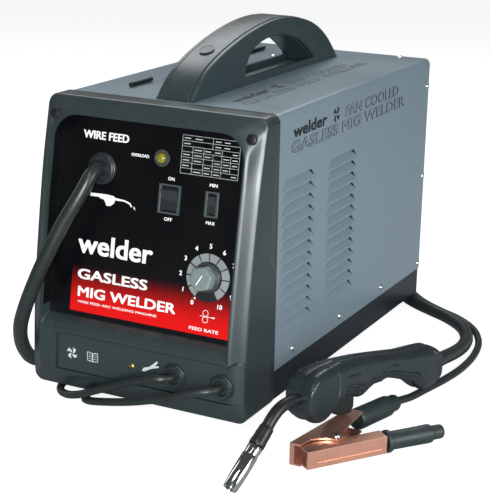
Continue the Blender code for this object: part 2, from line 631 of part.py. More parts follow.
def turned_between(name, profile, start, stop, material, sides=24, ring=False):
    """A turned piece whose axis runs from start to stop, both in the torch's plane."""
    a, b = Vector(torch_point(*start)), Vector(torch_point(*stop))
    turn = (b - a).to_track_quat("Z", "Y").to_euler()
    return turned(name, profile, "Z", material, at=a, turn=turn, sides=sides, ring=ring)


def torch():
    torch_slab("torch_shell_left", SHELL_OUTLINE, -TORCH_HALF, -GAP / 2, "torch_plastic")
    torch_slab("torch_shell_right", SHELL_OUTLINE, GAP / 2, TORCH_HALF, "torch_plastic")
    torch_slab("torch_trigger", TRIGGER_OUTLINE, -7, 7, "black_plastic", TRIGGER_PIVOT)
    lead("torch_neck", [torch_point(*p) for p in NECK_ROUTE], 11.5, "black_plastic", 9)
    sleeve = [(5.5, 0.2), (7.6, 2.5), (7.6, 16.3), (5, 16.3)]
    turned_between("nozzle_sleeve", sleeve, SLEEVE_TOP, NOZZLE_TOP, "black_plastic")
    length = math.dist(NOZZLE_TOP, NOZZLE_TIP)
    shell = [(7.2, GAP), (7.5, 2), (7.5, length * 0.72), (6.7, length), (5.3, length), (5.3, length - 22),
             (2, length - 22)]
    turned_between("torch_nozzle", shell, NOZZLE_TOP, NOZZLE_TIP, "chrome")


# ---- earth clamp, flat on the floor, its arms opening about an upright rivet ----
def clamp_arm(name, outline, low, high, wall):
    """A folded channel arm: the outline's outer side is a wall, and its ears reach the rivet."""
    local = [(x - RIVET_X, y - RIVET_Y) for x, y in outline]
    arm = extrude(name, local, "Z", low, high, "copper_plate", at=(RIVET_X, RIVET_Y, 0))
    hollow = [(x - RIVET_X, y - RIVET_Y) for x, y in wall]
    cut(arm, [extrude(f"{name}_hollow", hollow, "Z", low + 1.8, high - 1.8, at=(RIVET_X, RIVET_Y, 0)),
              turned(f"{name}_bore", [(2.9, low - 5), (2.9, high + 5)], "Z", at=(RIVET_X, RIVET_Y, 0), sides=16)])


def clamp_grip(name, front, rear):
    """A rubber sleeve from front to rear, as a turned body lying down."""
    a, b = Vector((*front, 11.3)), Vector((*rear, 11.3))
    turn = (b - a).to_track_quat("Z", "Y").to_euler()
    length = (b - a).length
    profile = [(9.5, 0), (11, 1.5), (11, length * 0.78), (8.5, length * 0.86), (8.2, length)]
    turned(name, profile, "Z", "grip_rubber", at=a, turn=turn, sides=20)


def earth_clamp():
    clamp_arm("clamp_arm_cable",
              [(184, -92), (194.8, -92), (197.5, -76), (209, -66), (221, -64.5), (222.5, -53), (216, -44), (214, 8.5),
               (199, 8.5), (191, -44)],
              0.4, 22.4,
              [(188, -99), (199, -99), (199.5, -78), (240, -72), (240, -40), (219, -42), (216.5, 19), (201.6, 19),
               (193.2, -44)])
    clamp_arm("clamp_arm_free",
              [(195.4, -92), (206, -99.5), (255.6, -30), (243.5, -20.5), (226, -46), (214, -50.5), (208.5, -58),
               (212, -65), (201, -76)],
              2.7, 20.1,
              [(190, -99), (203.3, -99.5), (253, -29.5), (262, -17), (240, -12), (224, -44), (205, -40), (203, -60),
               (205, -68), (192, -80)])
    turned("clamp_rivet", [(4.2, 22.8), (4.2, 23.6),
                           (2.4, 24.6)], "Z", "zinc_steel", at=(RIVET_X, RIVET_Y, 0), sides=16)
    clamp_grip("clamp_grip_cable", (206.4, 10.2), (223.2, 70.6))
    clamp_grip("clamp_grip_free", (250.6, -24.2), (289, 26.5))
    spring = [(3.4, 3.2 + 1.6), (6.6, 3.2 + 1.6), (6.6, 18), (3.4, 18)]
    turned("clamp_spring", spring, "Z", "zinc_steel", at=(RIVET_X, RIVET_Y, 0), sides=20, ring=True)


def main():
    clear_scene()
    frame = bpy.data.objects.new("machine_frame", None)
    bpy.context.scene.collection.objects.link(frame)
    frame.location = Vector((-ORIGIN_X, -ORIGIN_Y, 0)) * MM
    for make in (base_tray, feet, cover, rear_panel, front_bezel, control_panel, lower_fascia, handle, side_door,
                 hinge_pins, door_latch, divider_wall, transformer, rectifier, fan, wire_feed, pressure_arm, spool,
                 switches, feed_dial, glands, leads, mains_plug, torch, earth_clamp):
        make()


main()
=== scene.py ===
import math
import bmesh
import bpy
import numpy as np
from mathutils import Matrix, Vector


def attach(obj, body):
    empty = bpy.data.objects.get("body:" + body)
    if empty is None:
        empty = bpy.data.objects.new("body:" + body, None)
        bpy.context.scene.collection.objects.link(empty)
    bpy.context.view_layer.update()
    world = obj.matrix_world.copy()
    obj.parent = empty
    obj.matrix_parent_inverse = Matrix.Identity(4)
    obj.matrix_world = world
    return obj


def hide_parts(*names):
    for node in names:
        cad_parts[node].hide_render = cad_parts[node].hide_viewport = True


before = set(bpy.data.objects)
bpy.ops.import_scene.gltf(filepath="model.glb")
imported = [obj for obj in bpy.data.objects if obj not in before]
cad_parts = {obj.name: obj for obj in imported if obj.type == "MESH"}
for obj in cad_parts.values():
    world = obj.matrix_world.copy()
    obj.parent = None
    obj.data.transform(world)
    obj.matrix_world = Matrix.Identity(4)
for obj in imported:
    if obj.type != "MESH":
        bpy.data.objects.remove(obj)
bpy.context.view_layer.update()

# Shapes are worked out in the machine's own millimetres: X to the right, Y back from the seam
# between bezel and cover, Z up from the floor. originX and originY are the middle of its footprint.
originX, originY = 84.6, 112.56
panelSlope = 0.164                      # how far the panel leans back for each mm of height
panelLean = math.atan(panelSlope)
up = Vector((0, 0, 1))


# ---------- helpers ----------
def toFrame(points):
    # machine millimetres to metres in the row's frame
    return (np.asarray(points, float) - (originX, originY, 0.0)) * 0.001


def gridFaces(rows, cols, wrapRows=False, wrapCols=False):
    # quads of a grid of rows by cols points, joined round where a direction is closed
    r = np.arange(rows if wrapRows else rows - 1)[:, None]
    c = np.arange(cols if wrapCols else cols - 1)[None, :]
    r2, c2 = (r + 1) % rows, (c + 1) % cols
    quads = np.stack(np.broadcast_arrays(r * cols + c, r * cols + c2, r2 * cols + c2, r2 * cols + c), -1)
    return quads.reshape(-1, 4).tolist()


def addPiece(name, points, faces, material, body="machine", sharp=32, framed=False, replaces=(), slot=None):
    # a mesh from machine millimetres, closed, facing out and shaded smooth
    mesh = bpy.data.meshes.new(name)
    mesh.from_pydata((np.asarray(points) if framed else toFrame(points)).tolist(), [], faces)
    return settle(name, mesh, material, body, sharp, replaces)


def settle(name, mesh, material, body="machine", sharp=32, replaces=()):
    # cleans the mesh, turns its faces outwards, and puts it on its body
    work = bmesh.new()
    work.from_mesh(mesh)
    bmesh.ops.remove_doubles(work, verts=work.verts, dist=2e-6)
    bmesh.ops.recalc_face_normals(work, faces=work.faces)
    work.to_mesh(mesh)
    work.free()
    mesh.shade_smooth()
    mesh.set_sharp_from_angle(angle=math.radians(sharp))
    piece = bpy.data.objects.new(name, mesh)
    bpy.context.scene.collection.objects.link(piece)
    piece.data.materials.clear()
    piece.data.materials.append(materials[material])
    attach(piece, body)
    if replaces:
        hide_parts(*replaces)
    return piece


def applied(piece):
    # bakes the modifiers into the mesh and takes them off
    graph = bpy.context.evaluated_depsgraph_get()
    baked = bpy.data.meshes.new_from_object(piece.evaluated_get(graph))
    piece.modifiers.clear()
    piece.data = baked
    return piece


def soften(piece, width, segments=3, angle=35):
    # rounds the sharp edges by width, in millimetres
    edge = piece.modifiers.new("softEdge", "BEVEL")
    edge.width = width * 0.001
    edge.segments = segments
    edge.limit_method = "ANGLE"
    edge.angle_limit = math.radians(angle)
    edge.harden_normals = True
    edge.use_clamp_overlap = True
    return piece


def cadCopy(node, name, material, body="machine", width=0.6, segments=3, angle=35):
    # the CAD node's own shape, welded, with softened edges
    work = bmesh.new()
    work.from_mesh(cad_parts[node].data)
    bmesh.ops.remove_doubles(work, verts=work.verts, dist=1e-5)
    bmesh.ops.dissolve_limit(work, angle_limit=math.radians(1.0), verts=work.verts, edges=work.edges)
    mesh = bpy.data.meshes.new(name)
    work.to_mesh(mesh)
    work.free()
    piece = settle(name, mesh, material, body, 30, (node,))
    return soften(piece, width, segments, angle)


def cutWith(piece, points, faces, solver="EXACT"):
    # takes a closed cutter, in machine millimetres, away from the piece
    mesh = bpy.data.meshes.new("cutter")
    mesh.from_pydata(toFrame(points).tolist(), [], faces)
    work = bmesh.new()
    work.from_mesh(mesh)
    bmesh.ops.recalc_face_normals(work, faces=work.faces)
    work.to_mesh(mesh)
    work.free()
    cutter = bpy.data.objects.new("cutter", mesh)
    bpy.context.scene.collection.objects.link(cutter)
    hole = piece.modifiers.new("hole", "BOOLEAN")
    hole.operation = "DIFFERENCE"
    hole.object = cutter
    hole.solver = solver
    applied(piece)
    bpy.data.objects.remove(cutter, do_unlink=True)
    return piece


def prism(outline, low, high, axis="Y"):
    # points and faces of an outline of pairs carried from low to high along an axis
    outline = np.asarray(outline, float)
    count = len(outline)
    order = {"X": lambda a, b, t: (t, a, b), "Y": lambda a, b, t: (a, t, b), "Z": lambda a, b, t: (a, b, t)}[axis]
    points = [order(a, b, t) for t in (low, high) for a, b in outline]
    faces = [list(range(count)), list(range(2 * count - 1, count - 1, -1))]
    faces += [[i, (i + 1) % count, count + (i + 1) % count, count + i] for i in range(count)]
    return points, faces


def smoothRoute(points, spacing, closed=False):
    # points evenly spaced on a centripetal Catmull-Rom curve through the given ones
    route = np.array(points, float)
    ends = np.vstack([2 * route[0] - route[1], route, 2 * route[-1] - route[-2]])
    if closed:
        ends = np.vstack([route[-1], route, route[:2]])
    fine = [ends[1]]
    for a, b, c, d in zip(ends, ends[1:], ends[2:], ends[3:]):
        t0, t1, t2, t3 = np.cumsum([0] + [math.sqrt(np.linalg.norm(q - p)) for p, q in ((a, b), (b, c), (c, d))])
        t = np.linspace(t1, t2, 17)[1:, None]
        ab = ((t1 - t) * a + (t - t0) * b) / (t1 - t0)
        bc = ((t2 - t) * b + (t - t1) * c) / (t2 - t1)
        cd = ((t3 - t) * c + (t - t2) * d) / (t3 - t2)
        abc = ((t2 - t) * ab + (t - t0) * bc) / (t2 - t0)
        bcd = ((t3 - t) * bc + (t - t1) * cd) / (t3 - t1)
        fine.extend(((t2 - t) * abc + (t - t1) * bcd) / (t2 - t1))
    fine = np.array(fine)
    along = np.concatenate([[0], np.cumsum(np.linalg.norm(np.diff(fine, axis=0), axis=1))])
    wanted = np.linspace(0, along[-1], max(2, round(along[-1] / spacing) + 1))
    return np.stack([np.interp(wanted, along, fine[:, k]) for k in range(fine.shape[1])], axis=1)


def turnedShape(profile, centre, axis, sides=48, closed=False, lobes=None):
    # a profile of (radius, distance) carried round an axis through the centre: radius times
    # cosine and sine across the axis, and distance along it
    profile = np.asarray(profile, float)
    axis = Vector(axis).normalized()
    across = axis.orthogonal().normalized()
    third = axis.cross(across)
    angle = np.linspace(0, 2 * math.pi, sides, endpoint=False)
    radius = profile[:, 0][:, None] * (np.ones(sides) if lobes is None else lobes(angle, profile))
    points = (np.asarray(centre, float) + radius[..., None] * (np.cos(angle)[None, :, None] * np.array(across)
              + np.sin(angle)[None, :, None] * np.array(third)) + profile[:, 1][:, None, None] * np.array(axis))
    rows = len(profile)
    faces = gridFaces(rows, sides, closed, True)
    if not closed:
        faces += [list(range(sides)), list(range((rows - 1) * sides, rows * sides))]
    return points.reshape(-1, 3), faces


def onPanel(x, z, out=0.0):
    # the point `out` in front of the leaning control panel at (x, z)
    y = -26.6 - panelSlope * (274.0 - z)
    return np.array([x, y - out * math.cos(panelLean), z + out * math.sin(panelLean)])


panelNormal = (0, -math.cos(panelLean), math.sin(panelLean))
panelUp = (0, math.sin(panelLean), math.cos(panelLean))


# ---------- materials ----------
def effect(name, inputs, outputs, build):
    # a shader node group with named inputs and outputs
    group = bpy.data.node_groups.new(name, "ShaderNodeTree")
    for label, value in inputs:
        socket = group.interface.new_socket(label, in_out="INPUT", socket_type="NodeSocketFloat")
        socket.default_value = value
    for label in outputs:
        group.interface.new_socket(label, in_out="OUTPUT", socket_type="NodeSocketFloat")
    build(group, group.nodes.new("NodeGroupInput"), group.nodes.new("NodeGroupOutput"))
    return group


def node(tree, kind, links=(), **settings):
    # a node with its settings, and its inputs linked or set
    made = tree.nodes.new("ShaderNode" + kind)
    for key, value in settings.items():
        setattr(made, key, value)
    for socket, value in links:
        if isinstance(value, bpy.types.NodeSocket):
            tree.links.new(value, made.inputs[socket])
        else:
            made.inputs[socket].default_value = value
    return made


def buildGrain(group, given, result):
    # moulded or painted skin: a fine noise for relief and a broad one for tone
    place = node(group, "TexCoord")
    fine = node(group, "TexNoise", [("Vector", place.outputs["Object"]), ("Scale", given.outputs["Scale"]),
                                    ("Detail", 3.0), ("Roughness", 0.6)])
    broad = node(group, "TexNoise", [("Vector", place.outputs["Object"]), ("Scale", given.outputs["Broad scale"]),
                                     ("Detail", 4.0), ("Roughness", 0.55)])
    group.links.new(fine.outputs["Fac"], result.inputs["Relief"])
    group.links.new(broad.outputs["Fac"], result.inputs["Tone"])


def buildScuffs(group, given, result):
    # fine hairline scratches: two stretched noises, kept where they peak
    place = node(group, "TexCoord")
    masks = []
    for turn in (0.5, 2.1):
        turned = node(group, "Mapping", [("Vector", place.outputs["Object"]), ("Rotation", (turn, turn * 0.7, turn)),
                                         ("Scale", (900.0, 14.0, 900.0))])
        line = node(group, "TexNoise", [("Vector", turned.outputs["Vector"]), ("Scale", 1.0), ("Detail", 2.0)])
        masks.append(node(group, "MapRange", [("Value", line.outputs["Fac"]), ("From Min", 0.66), ("From Max", 0.74)]))
    both = node(group, "Math", [(0, masks[0].outputs["Result"]), (1, masks[1].outputs["Result"])], operation="MAXIMUM")
    scaled = node(group, "Math", [(0, both.outputs["Value"]), (1, given.outputs["Amount"])], operation="MULTIPLY")
    group.links.new(scaled.outputs["Value"], result.inputs["Scuff"])


def buildDust(group, given, result):
    # a light film of dust on faces that look up, broken up by a noise
    place = node(group, "TexCoord")
    shape = node(group, "NewGeometry")
    parts = node(group, "SeparateXYZ", [("Vector", shape.outputs["Normal"])])
    upward = node(group, "MapRange", [("Value", parts.outputs["Z"]), ("From Min", 0.3), ("From Max", 1.0)])
    cloud = node(group, "TexNoise", [("Vector", place.outputs["Object"]), ("Scale", 60.0), ("Detail", 5.0)])
    broken = node(group, "MapRange", [("Value", cloud.outputs["Fac"]), ("From Min", 0.35), ("From Max", 0.75)])
    film = node(group, "Math", [(0, upward.outputs["Result"]), (1, broken.outputs["Result"])], operation="MULTIPLY")
    scaled = node(group, "Math", [(0, film.outputs["Value"]), (1, given.outputs["Amount"])], operation="MULTIPLY")
    group.links.new(scaled.outputs["Value"], result.inputs["Dust"])


grain = effect("surfaceGrain", [("Scale", 900.0), ("Broad scale", 12.0)], ["Relief", "Tone"], buildGrain)
scuffs = effect("hairScratches", [("Amount", 0.3)], ["Scuff"], buildScuffs)
dust = effect("settledDust", [("Amount", 0.1)], ["Dust"], buildDust)


def useGroup(tree, group, **values):
    made = tree.nodes.new("ShaderNodeGroup")
    made.node_tree = group
    for key, value in values.items():
        made.inputs[key.replace("_", " ")].default_value = value
    return made


def tone(colour, factor):
    return (*[min(1.0, c * factor) for c in colour], 1.0)


def skin(name, colour, rough=0.4, metallic=0.0, scale=900.0, broad=12.0, vary=0.12, relief=0.15, depth=0.0002,
         coat=0.0, scuff=0.15, dusty=0.0, specular=0.5, paint=None):
    # one finish: two close tones over the broad noise, a grain in relief, hairlines that
    # change the roughness, and dust on top. paint may put more colour between them
    material = bpy.data.materials.new(name)
    material.use_nodes = True
    tree = material.node_tree
    shader = tree.nodes["Principled BSDF"]
    made = useGroup(tree, grain, Scale=scale, Broad_scale=broad)
    lines = useGroup(tree, scuffs, Amount=scuff)
    film = useGroup(tree, dust, Amount=dusty)
    base = node(tree, "Mix", [("Factor", made.outputs["Tone"])], data_type="RGBA")
    base.inputs[6].default_value, base.inputs[7].default_value = tone(colour, 1 - vary), tone(colour, 1 + vary)
    out = base.outputs[2]
    if paint:
        out = paint(tree, out)
    worn = node(tree, "Mix", [("Factor", film.outputs["Dust"])], data_type="RGBA")
    tree.links.new(out, worn.inputs[6])
    worn.inputs[7].default_value = (0.42, 0.41, 0.39, 1)
    tree.links.new(worn.outputs[2], shader.inputs["Base Color"])
    steps = node(tree, "MapRange", [("Value", made.outputs["Tone"]), ("From Min", 0.3), ("From Max", 0.7),
                                    ("To Min", max(0.02, rough - 0.06)), ("To Max", rough + 0.06)])
    roughened = node(tree, "Math", [(0, steps.outputs["Result"]), (1, lines.outputs["Scuff"])], operation="ADD",
                     use_clamp=True)
    tree.links.new(roughened.outputs["Value"], shader.inputs["Roughness"])
    bump = node(tree, "Bump", [("Strength", relief), ("Distance", depth), ("Height", made.outputs["Relief"])])
    tree.links.new(bump.outputs["Normal"], shader.inputs["Normal"])
    shader.inputs["Metallic"].default_value = metallic
    shader.inputs["Specular IOR Level"].default_value = specular
    shader.inputs["Coat Weight"].default_value = coat
    shader.inputs["Coat Roughness"].default_value = 0.12
    return material


def printedPanel(tree, under):
    # black overlay that turns to red over its lower third, with a plain margin on the left
    place = node(tree, "TexCoord")
    parts = node(tree, "SeparateXYZ", [("Vector", place.outputs["Object"])])
    fade = node(tree, "MapRange", [("Value", parts.outputs["Z"]), ("From Min", 0.142), ("From Max", 0.1)],
                interpolation_type="SMOOTHSTEP")
    inside = node(tree, "Math", [(0, parts.outputs["X"]), (1, -0.0815 - 0.0846)], operation="GREATER_THAN")
    above = node(tree, "Math", [(0, parts.outputs["Z"]), (1, 0.0945)], operation="GREATER_THAN")
    turned = node(tree, "SeparateXYZ", [("Vector", node(tree, "NewGeometry").outputs["Normal"])])
    front = node(tree, "Math", [(0, turned.outputs["Y"]), (1, -0.5)], operation="LESS_THAN")
    placed = node(tree, "Math", [(0, inside.outputs["Value"]), (1, above.outputs["Value"])], operation="MULTIPLY")
    both = node(tree, "Math", [(0, placed.outputs["Value"]), (1, front.outputs["Value"])], operation="MULTIPLY")
    mask = node(tree, "Math", [(0, fade.outputs["Result"]), (1, both.outputs["Value"])], operation="MULTIPLY")
    mix = node(tree, "Mix", [("Factor", mask.outputs["Value"])], data_type="RGBA")
    tree.links.new(under, mix.inputs[6])
    mix.inputs[7].default_value = (0.62, 0.004, 0.004, 1)
    return mix.outputs[2]


materials = {
    "coverPaint": skin("coverPaint", (0.2, 0.265, 0.31), 0.36, 0.25, 1400, 9, 0.05, 0.1, 0.00012, 0.15, 0.1, 0.04),
    "charcoal": skin("charcoal", (0.022, 0.034, 0.036), 0.33, 0, 1500, 14, 0.1, 0.3, 0.00015, 0, 0.15, 0.05),
    "handlePlastic": skin("handlePlastic", (0.022, 0.036, 0.039), 0.38, 0, 1500, 14, 0.1, 0.3, 0.00015, 0, 0.15, 0.05),
    "basePaint": skin("basePaint", (0.006, 0.011, 0.016), 0.4, 0, 1200, 10, 0.1, 0.12, 0.0001, 0, 0.15, 0.1),
    "panelPrint": skin("panelPrint", (0.002, 0.002, 0.003), 0.3, 0, 1500, 20, 0.1, 0.05, 0.00005, 0.0, 0.1, 0,
                       0.3, printedPanel),
    "blackPlastic": skin("blackPlastic", (0.008, 0.009, 0.01), 0.36, 0, 1500, 18, 0.15, 0.2, 0.0001, 0, 0.15, 0.03),
    "rubber": skin("rubber", (0.012, 0.012, 0.012), 0.65, 0, 900, 20, 0.15, 0.3, 0.0002, 0, 0.1, 0.1),
    "jacket": skin("jacket", (0.014, 0.02, 0.02), 0.36, 0, 1100, 16, 0.12, 0.2, 0.00012, 0, 0.15, 0.03),
    "zincSteel": skin("zincSteel", (0.55, 0.55, 0.53), 0.32, 0.95, 700, 30, 0.1, 0.1, 0.0001, 0, 0.3),
    "brightSteel": skin("brightSteel", (0.8, 0.81, 0.8), 0.22, 1.0, 900, 30, 0.06, 0.06, 0.00005, 0, 0.2),
    "silverDial": skin("silverDial", (0.42, 0.46, 0.46), 0.34, 0.6, 1600, 40, 0.08, 0.1, 0.00005, 0, 0.2),
    "knobGrey": skin("knobGrey", (0.2, 0.25, 0.25), 0.3, 0.2, 1400, 40, 0.06, 0.1, 0.00005, 0.3, 0.1),
    "amberLens": skin("amberLens", (0.2, 0.18, 0.012), 0.12, 0, 600, 60, 0.2, 0.1, 0.0001, 0.8, 0.05),
    "laminations": skin("laminations", (0.09, 0.09, 0.1), 0.5, 0.7, 1200, 30, 0.2, 0.4, 0.0003, 0, 0.3, 0.05),
    "copperWire": skin("copperWire", (0.42, 0.16, 0.05), 0.32, 0.8, 500, 50, 0.2, 0.5, 0.0006, 0.5, 0.1),
    "aluminium": skin("aluminium", (0.6, 0.6, 0.61), 0.35, 0.95, 800, 30, 0.08, 0.15, 0.0001, 0, 0.3),
    "copperPlate": skin("copperPlate", (0.82, 0.42, 0.31), 0.3, 0.85, 700, 35, 0.06, 0.04, 0.0001, 0.1, 0.12),
    "chrome": skin("chrome", (0.62, 0.64, 0.63), 0.1, 1.0, 500, 50, 0.05, 0.03, 0.00003, 0, 0.06),
    "gripRubber": skin("gripRubber", (0.016, 0.026, 0.026), 0.45, 0, 1000, 25, 0.12, 0.25, 0.00015, 0, 0.1, 0.04),
    "torchPlastic": skin("torchPlastic", (0.014, 0.021, 0.025), 0.27, 0, 1500, 18, 0.08, 0.08, 0.0001, 0, 0.12, 0.02),
    "printWhite": skin("printWhite", (0.85, 0.85, 0.85), 0.45, 0, 900, 40, 0.02, 0.03, 0.00003, 0, 0.05),
    "printRed": skin("printRed", (0.5, 0.01, 0.01), 0.4, 0, 900, 40, 0.02, 0.03, 0.00003, 0, 0.05),
    "printGrey": skin("printGrey", (0.55, 0.6, 0.6), 0.45, 0, 900, 40, 0.03, 0.03, 0.00003, 0, 0.05),
    "printDark": skin("printDark", (0.004, 0.006, 0.008), 0.55, 0, 900, 40, 0.05, 0.03, 0.00003, 0, 0.05),
    "brass": skin("brass", (0.6, 0.38, 0.13), 0.3, 1.0, 800, 30, 0.1, 0.1, 0.0001, 0, 0.2),
    # near-black used as painted shade: it lines the panel opening's walls and darkens the view through the rear grille
    "recessBlack": skin("recessBlack", (0.002, 0.003, 0.003), 0.5, 0, 1500, 20, 0.1, 0.1, 0.00005, 0, 0.05, 0, 0.15),
    "knobRim": skin("knobRim", (0.06, 0.07, 0.07), 0.25, 0.3, 1400, 40, 0.08, 0.08, 0.00005, 0.4, 0.1),
    "switchGrey": skin("switchGrey", (0.05, 0.065, 0.065), 0.34, 0, 1500, 30, 0.1, 0.15, 0.00008, 0, 0.1),
    "rockerGrey": skin("rockerGrey", (0.018, 0.022, 0.023), 0.26, 0, 1500, 30, 0.1, 0.12, 0.00006, 0.2, 0.1),
    "glandGrey": skin("glandGrey", (0.018, 0.024, 0.025), 0.34, 0, 1500, 30, 0.1, 0.15, 0.00008, 0, 0.1),
}
print("materials:", len(materials))

# ---------- camera, light and floor ----------
cameraAt = {"place": (696.0, -1186.0, 568.0), "right": (0.8904, 0.4548, 0.0207), "up": (-0.1487, 0.2475, 0.9574),
            "back": (0.4303, -0.8555, 0.2880), "lens": 102.08, "shift": (-0.0233, -0.001)}


def makeCamera():
    lens = bpy.data.cameras.new("camera")
    lens.lens, lens.sensor_width = cameraAt["lens"], 36.0
    lens.shift_x, lens.shift_y = cameraAt["shift"]
    lens.clip_start, lens.clip_end = 0.05, 30.0
    camera = bpy.data.objects.new("camera", lens)
    bpy.context.scene.collection.objects.link(camera)
    turn = Matrix([cameraAt["right"], cameraAt["up"], cameraAt["back"]]).transposed().to_4x4()
    camera.matrix_world = Matrix.Translation(Vector(toFrame(cameraAt["place"]))) @ turn
    bpy.context.scene.camera = camera


lamps = {  # place in metres, what it faces, size, power, colour
    "sideKey": ((2.6, -0.25, 0.75), (0.0, 0.05, 0.15), (1.5, 1.0), 40, (0.96, 0.99, 1)),
    "frontBand": ((0.95, -2.05, 0.62), (0.03, -0.17, 0.2), (0.34, 0.9), 58, (0.97, 1, 1)),
    "topSoft": ((-0.6, 1.1, 1.6), (0, 0, 0.25), (1.4, 1.0), 20, (0.95, 0.99, 1)),
    "leftRim": ((-1.9, 0.1, 0.9), (0, 0, 0.15), (0.4, 1.2), 4, (0.93, 1, 1)),
    "lowFront": ((0.35, -1.4, 1.9), (0.05, -0.2, 0.05), (0.8, 0.5), 9, (1, 1, 1)),
}


def makeLights():
    for name, (place, aim, size, power, colour) in lamps.items():
        lamp = bpy.data.lights.new(name, "AREA")
        lamp.shape, lamp.size, lamp.size_y = "RECTANGLE", size[0], size[1]
        lamp.energy, lamp.color = power, colour
        holder = bpy.data.objects.new(name, lamp)
        bpy.context.scene.collection.objects.link(holder)
        holder.location = place
        holder.rotation_euler = (Vector(place) - Vector(aim)).to_track_quat("Z", "Y").to_euler()
    world = bpy.data.worlds.new("studio")
    world.use_nodes = True
    # white behind everything, and a dim cool room for what the surfaces mirror
    tree = world.node_tree
    ray = node(tree, "LightPath")
    level = node(tree, "MapRange", [("Value", ray.outputs["Is Camera Ray"]), ("To Min", 0.09), ("To Max", 1.05)])
    tree.links.new(level.outputs["Result"], tree.nodes["Background"].inputs["Strength"])
    tree.nodes["Background"].inputs["Color"].default_value = (1.0, 1.0, 1.0, 1)
    bpy.context.scene.world = world
    bpy.context.scene.view_settings.view_transform = "Standard"


def makeFloor():
    # a plain pale sheet, far larger than the view
    mesh = bpy.data.meshes.new("floor")
    mesh.from_pydata([(-12, -12, 0), (12, -12, 0), (12, 12, 0), (-12, 12, 0)], [], [(0, 1, 2, 3)])
    floor = bpy.data.objects.new("floor", mesh)
    bpy.context.scene.collection.objects.link(floor)
    plain = bpy.data.materials.new("paleFloor")
    plain.use_nodes = True
    tree = plain.node_tree
    shader = tree.nodes["Principled BSDF"]
    shader.inputs["Base Color"].default_value = (0.4, 0.41, 0.42, 1)
    shader.inputs["Roughness"].default_value = 0.9
    shader.inputs["Emission Color"].default_value = (1, 1, 1, 1)
    # it shines white to the camera only, so it adds no light of its own
    ray = node(tree, "LightPath")
    glow = node(tree, "Math", [(0, ray.outputs["Is Camera Ray"]), (1, 0.86)], operation="MULTIPLY")
    tree.links.new(glow.outputs["Value"], shader.inputs["Emission Strength"])
    mesh.materials.append(plain)


makeCamera()
makeLights()
makeFloor()
print("camera, lights and floor")

# ---------- leads ----------
torchRoute = [(-55.8, -35.2, 239.1), (-55.8, -43, 240.3), (-56.5, -51.5, 236.5), (-60, -59, 224), (-67, -66, 208),
              (-77, -71, 189), (-88, -76, 165), (-99, -79, 142), (-109, -80, 120), (-119, -79, 98), (-130, -73, 75),
              (-139, -61, 54), (-146, -45, 35), (-152, -25, 19), (-157, -3, 9.5), (-161, 25, 7.8), (-164, 90, 7.8),
              (-166, 170, 7.8), (-167, 260, 7.8), (-166, 330, 8.2), (-162, 372, 12), (-156, 405, 16.4), (-145, 438, 13),
              (-127, 474, 8.4), (-98, 508, 7.8), (-55, 527, 7.8), (-10, 520, 7.8), (30, 492, 7.8), (60, 458, 7.8),
              (89, 420, 7.8), (118, 391, 7.8), (146, 373, 7.8), (176, 355, 7.8), (204, 329, 7.8), (222, 294, 8.5),
              (230, 254, 12), (233, 210, 19), (233, 180, 24), (232.6, 153.6, 26.5)]
earthRoute = [(48.2, -71.9, 52.7), (47.8, -77.5, 52.9), (43, -83.5, 53.4), (30, -87, 51.8), (10, -88, 45),
              (-10, -88, 37), (-30, -87, 28.5), (-52, -84, 18.5), (-70, -77, 12), (-86, -66, 8), (-98, -51, 5.5),
              (-105, -32, 4.3), (-107, 0, 4.3), (-107, 100, 4.3), (-107, 220, 4.3), (-108, 320, 4.3), (-113, 365, 4.3),
              (-132, 392, 4.3), (-160, 411, 4.3), (-179.4, 440, 4.3), (-176, 480, 4.3), (-150, 518, 4.3),
              (-108, 543, 4.3), (-55, 548.5, 4.3), (0, 540, 4.3), (45, 508, 4.3), (77, 470, 4.3), (103, 432, 4.3),
              (130, 403, 4.3), (158, 383, 4.3), (188, 365, 4.3), (216, 337, 4.3), (235, 299, 4.3), (244, 255, 4.3),
              (245, 210, 4.3), (240, 170, 4.3), (232.5, 135, 4.3), (227.5, 105, 5.5), (225.5, 88, 8.5),
              (223.6, 72.2, 11.3)]
mainsRoute = [(100.6, -71.9, 51.8), (100.2, -77.5, 52), (96, -85, 52.2), (82, -90.5, 49.5), (52, -93, 39),
              (16, -93, 28), (-20, -88, 18.5), (-44, -79, 11.5), (-60, -63, 5.5), (-67, -43, 4.3), (-69, -10, 4.3),
              (-69, 100, 4.3), (-69, 220, 4.3), (-69, 330, 4.3), (-72, 385, 4.3), (-85, 410, 4.3)]
coil = {"centre": (-45.0, 462.0), "radii": (48.0, 40.0), "heights": (4.3, 12.3), "start": 196.0, "turns": 4}


def coilPoints():
    # turns that run clockwise: the outer two, then the inner two on their way up, then out to the plug
    (cx, cy), (big, small), (low, high) = coil["centre"], coil["radii"], coil["heights"]
    t = np.linspace(0, coil["turns"], coil["turns"] * 24 + 1)
    angle = np.radians(coil["start"]) - 2 * math.pi * t
    blend = lambda a: np.clip(a, 0, 1) ** 2 * (3 - 2 * np.clip(a, 0, 1))
    radius = big - (big - small) * (blend((t - 0.85) / 0.3) - blend((t - 2.85) / 0.3))
    height = low + (high - low) * blend((t - 1.85) / 0.3)
    return np.stack([cx + radius * np.cos(angle), cy + radius * np.sin(angle), height], axis=1)


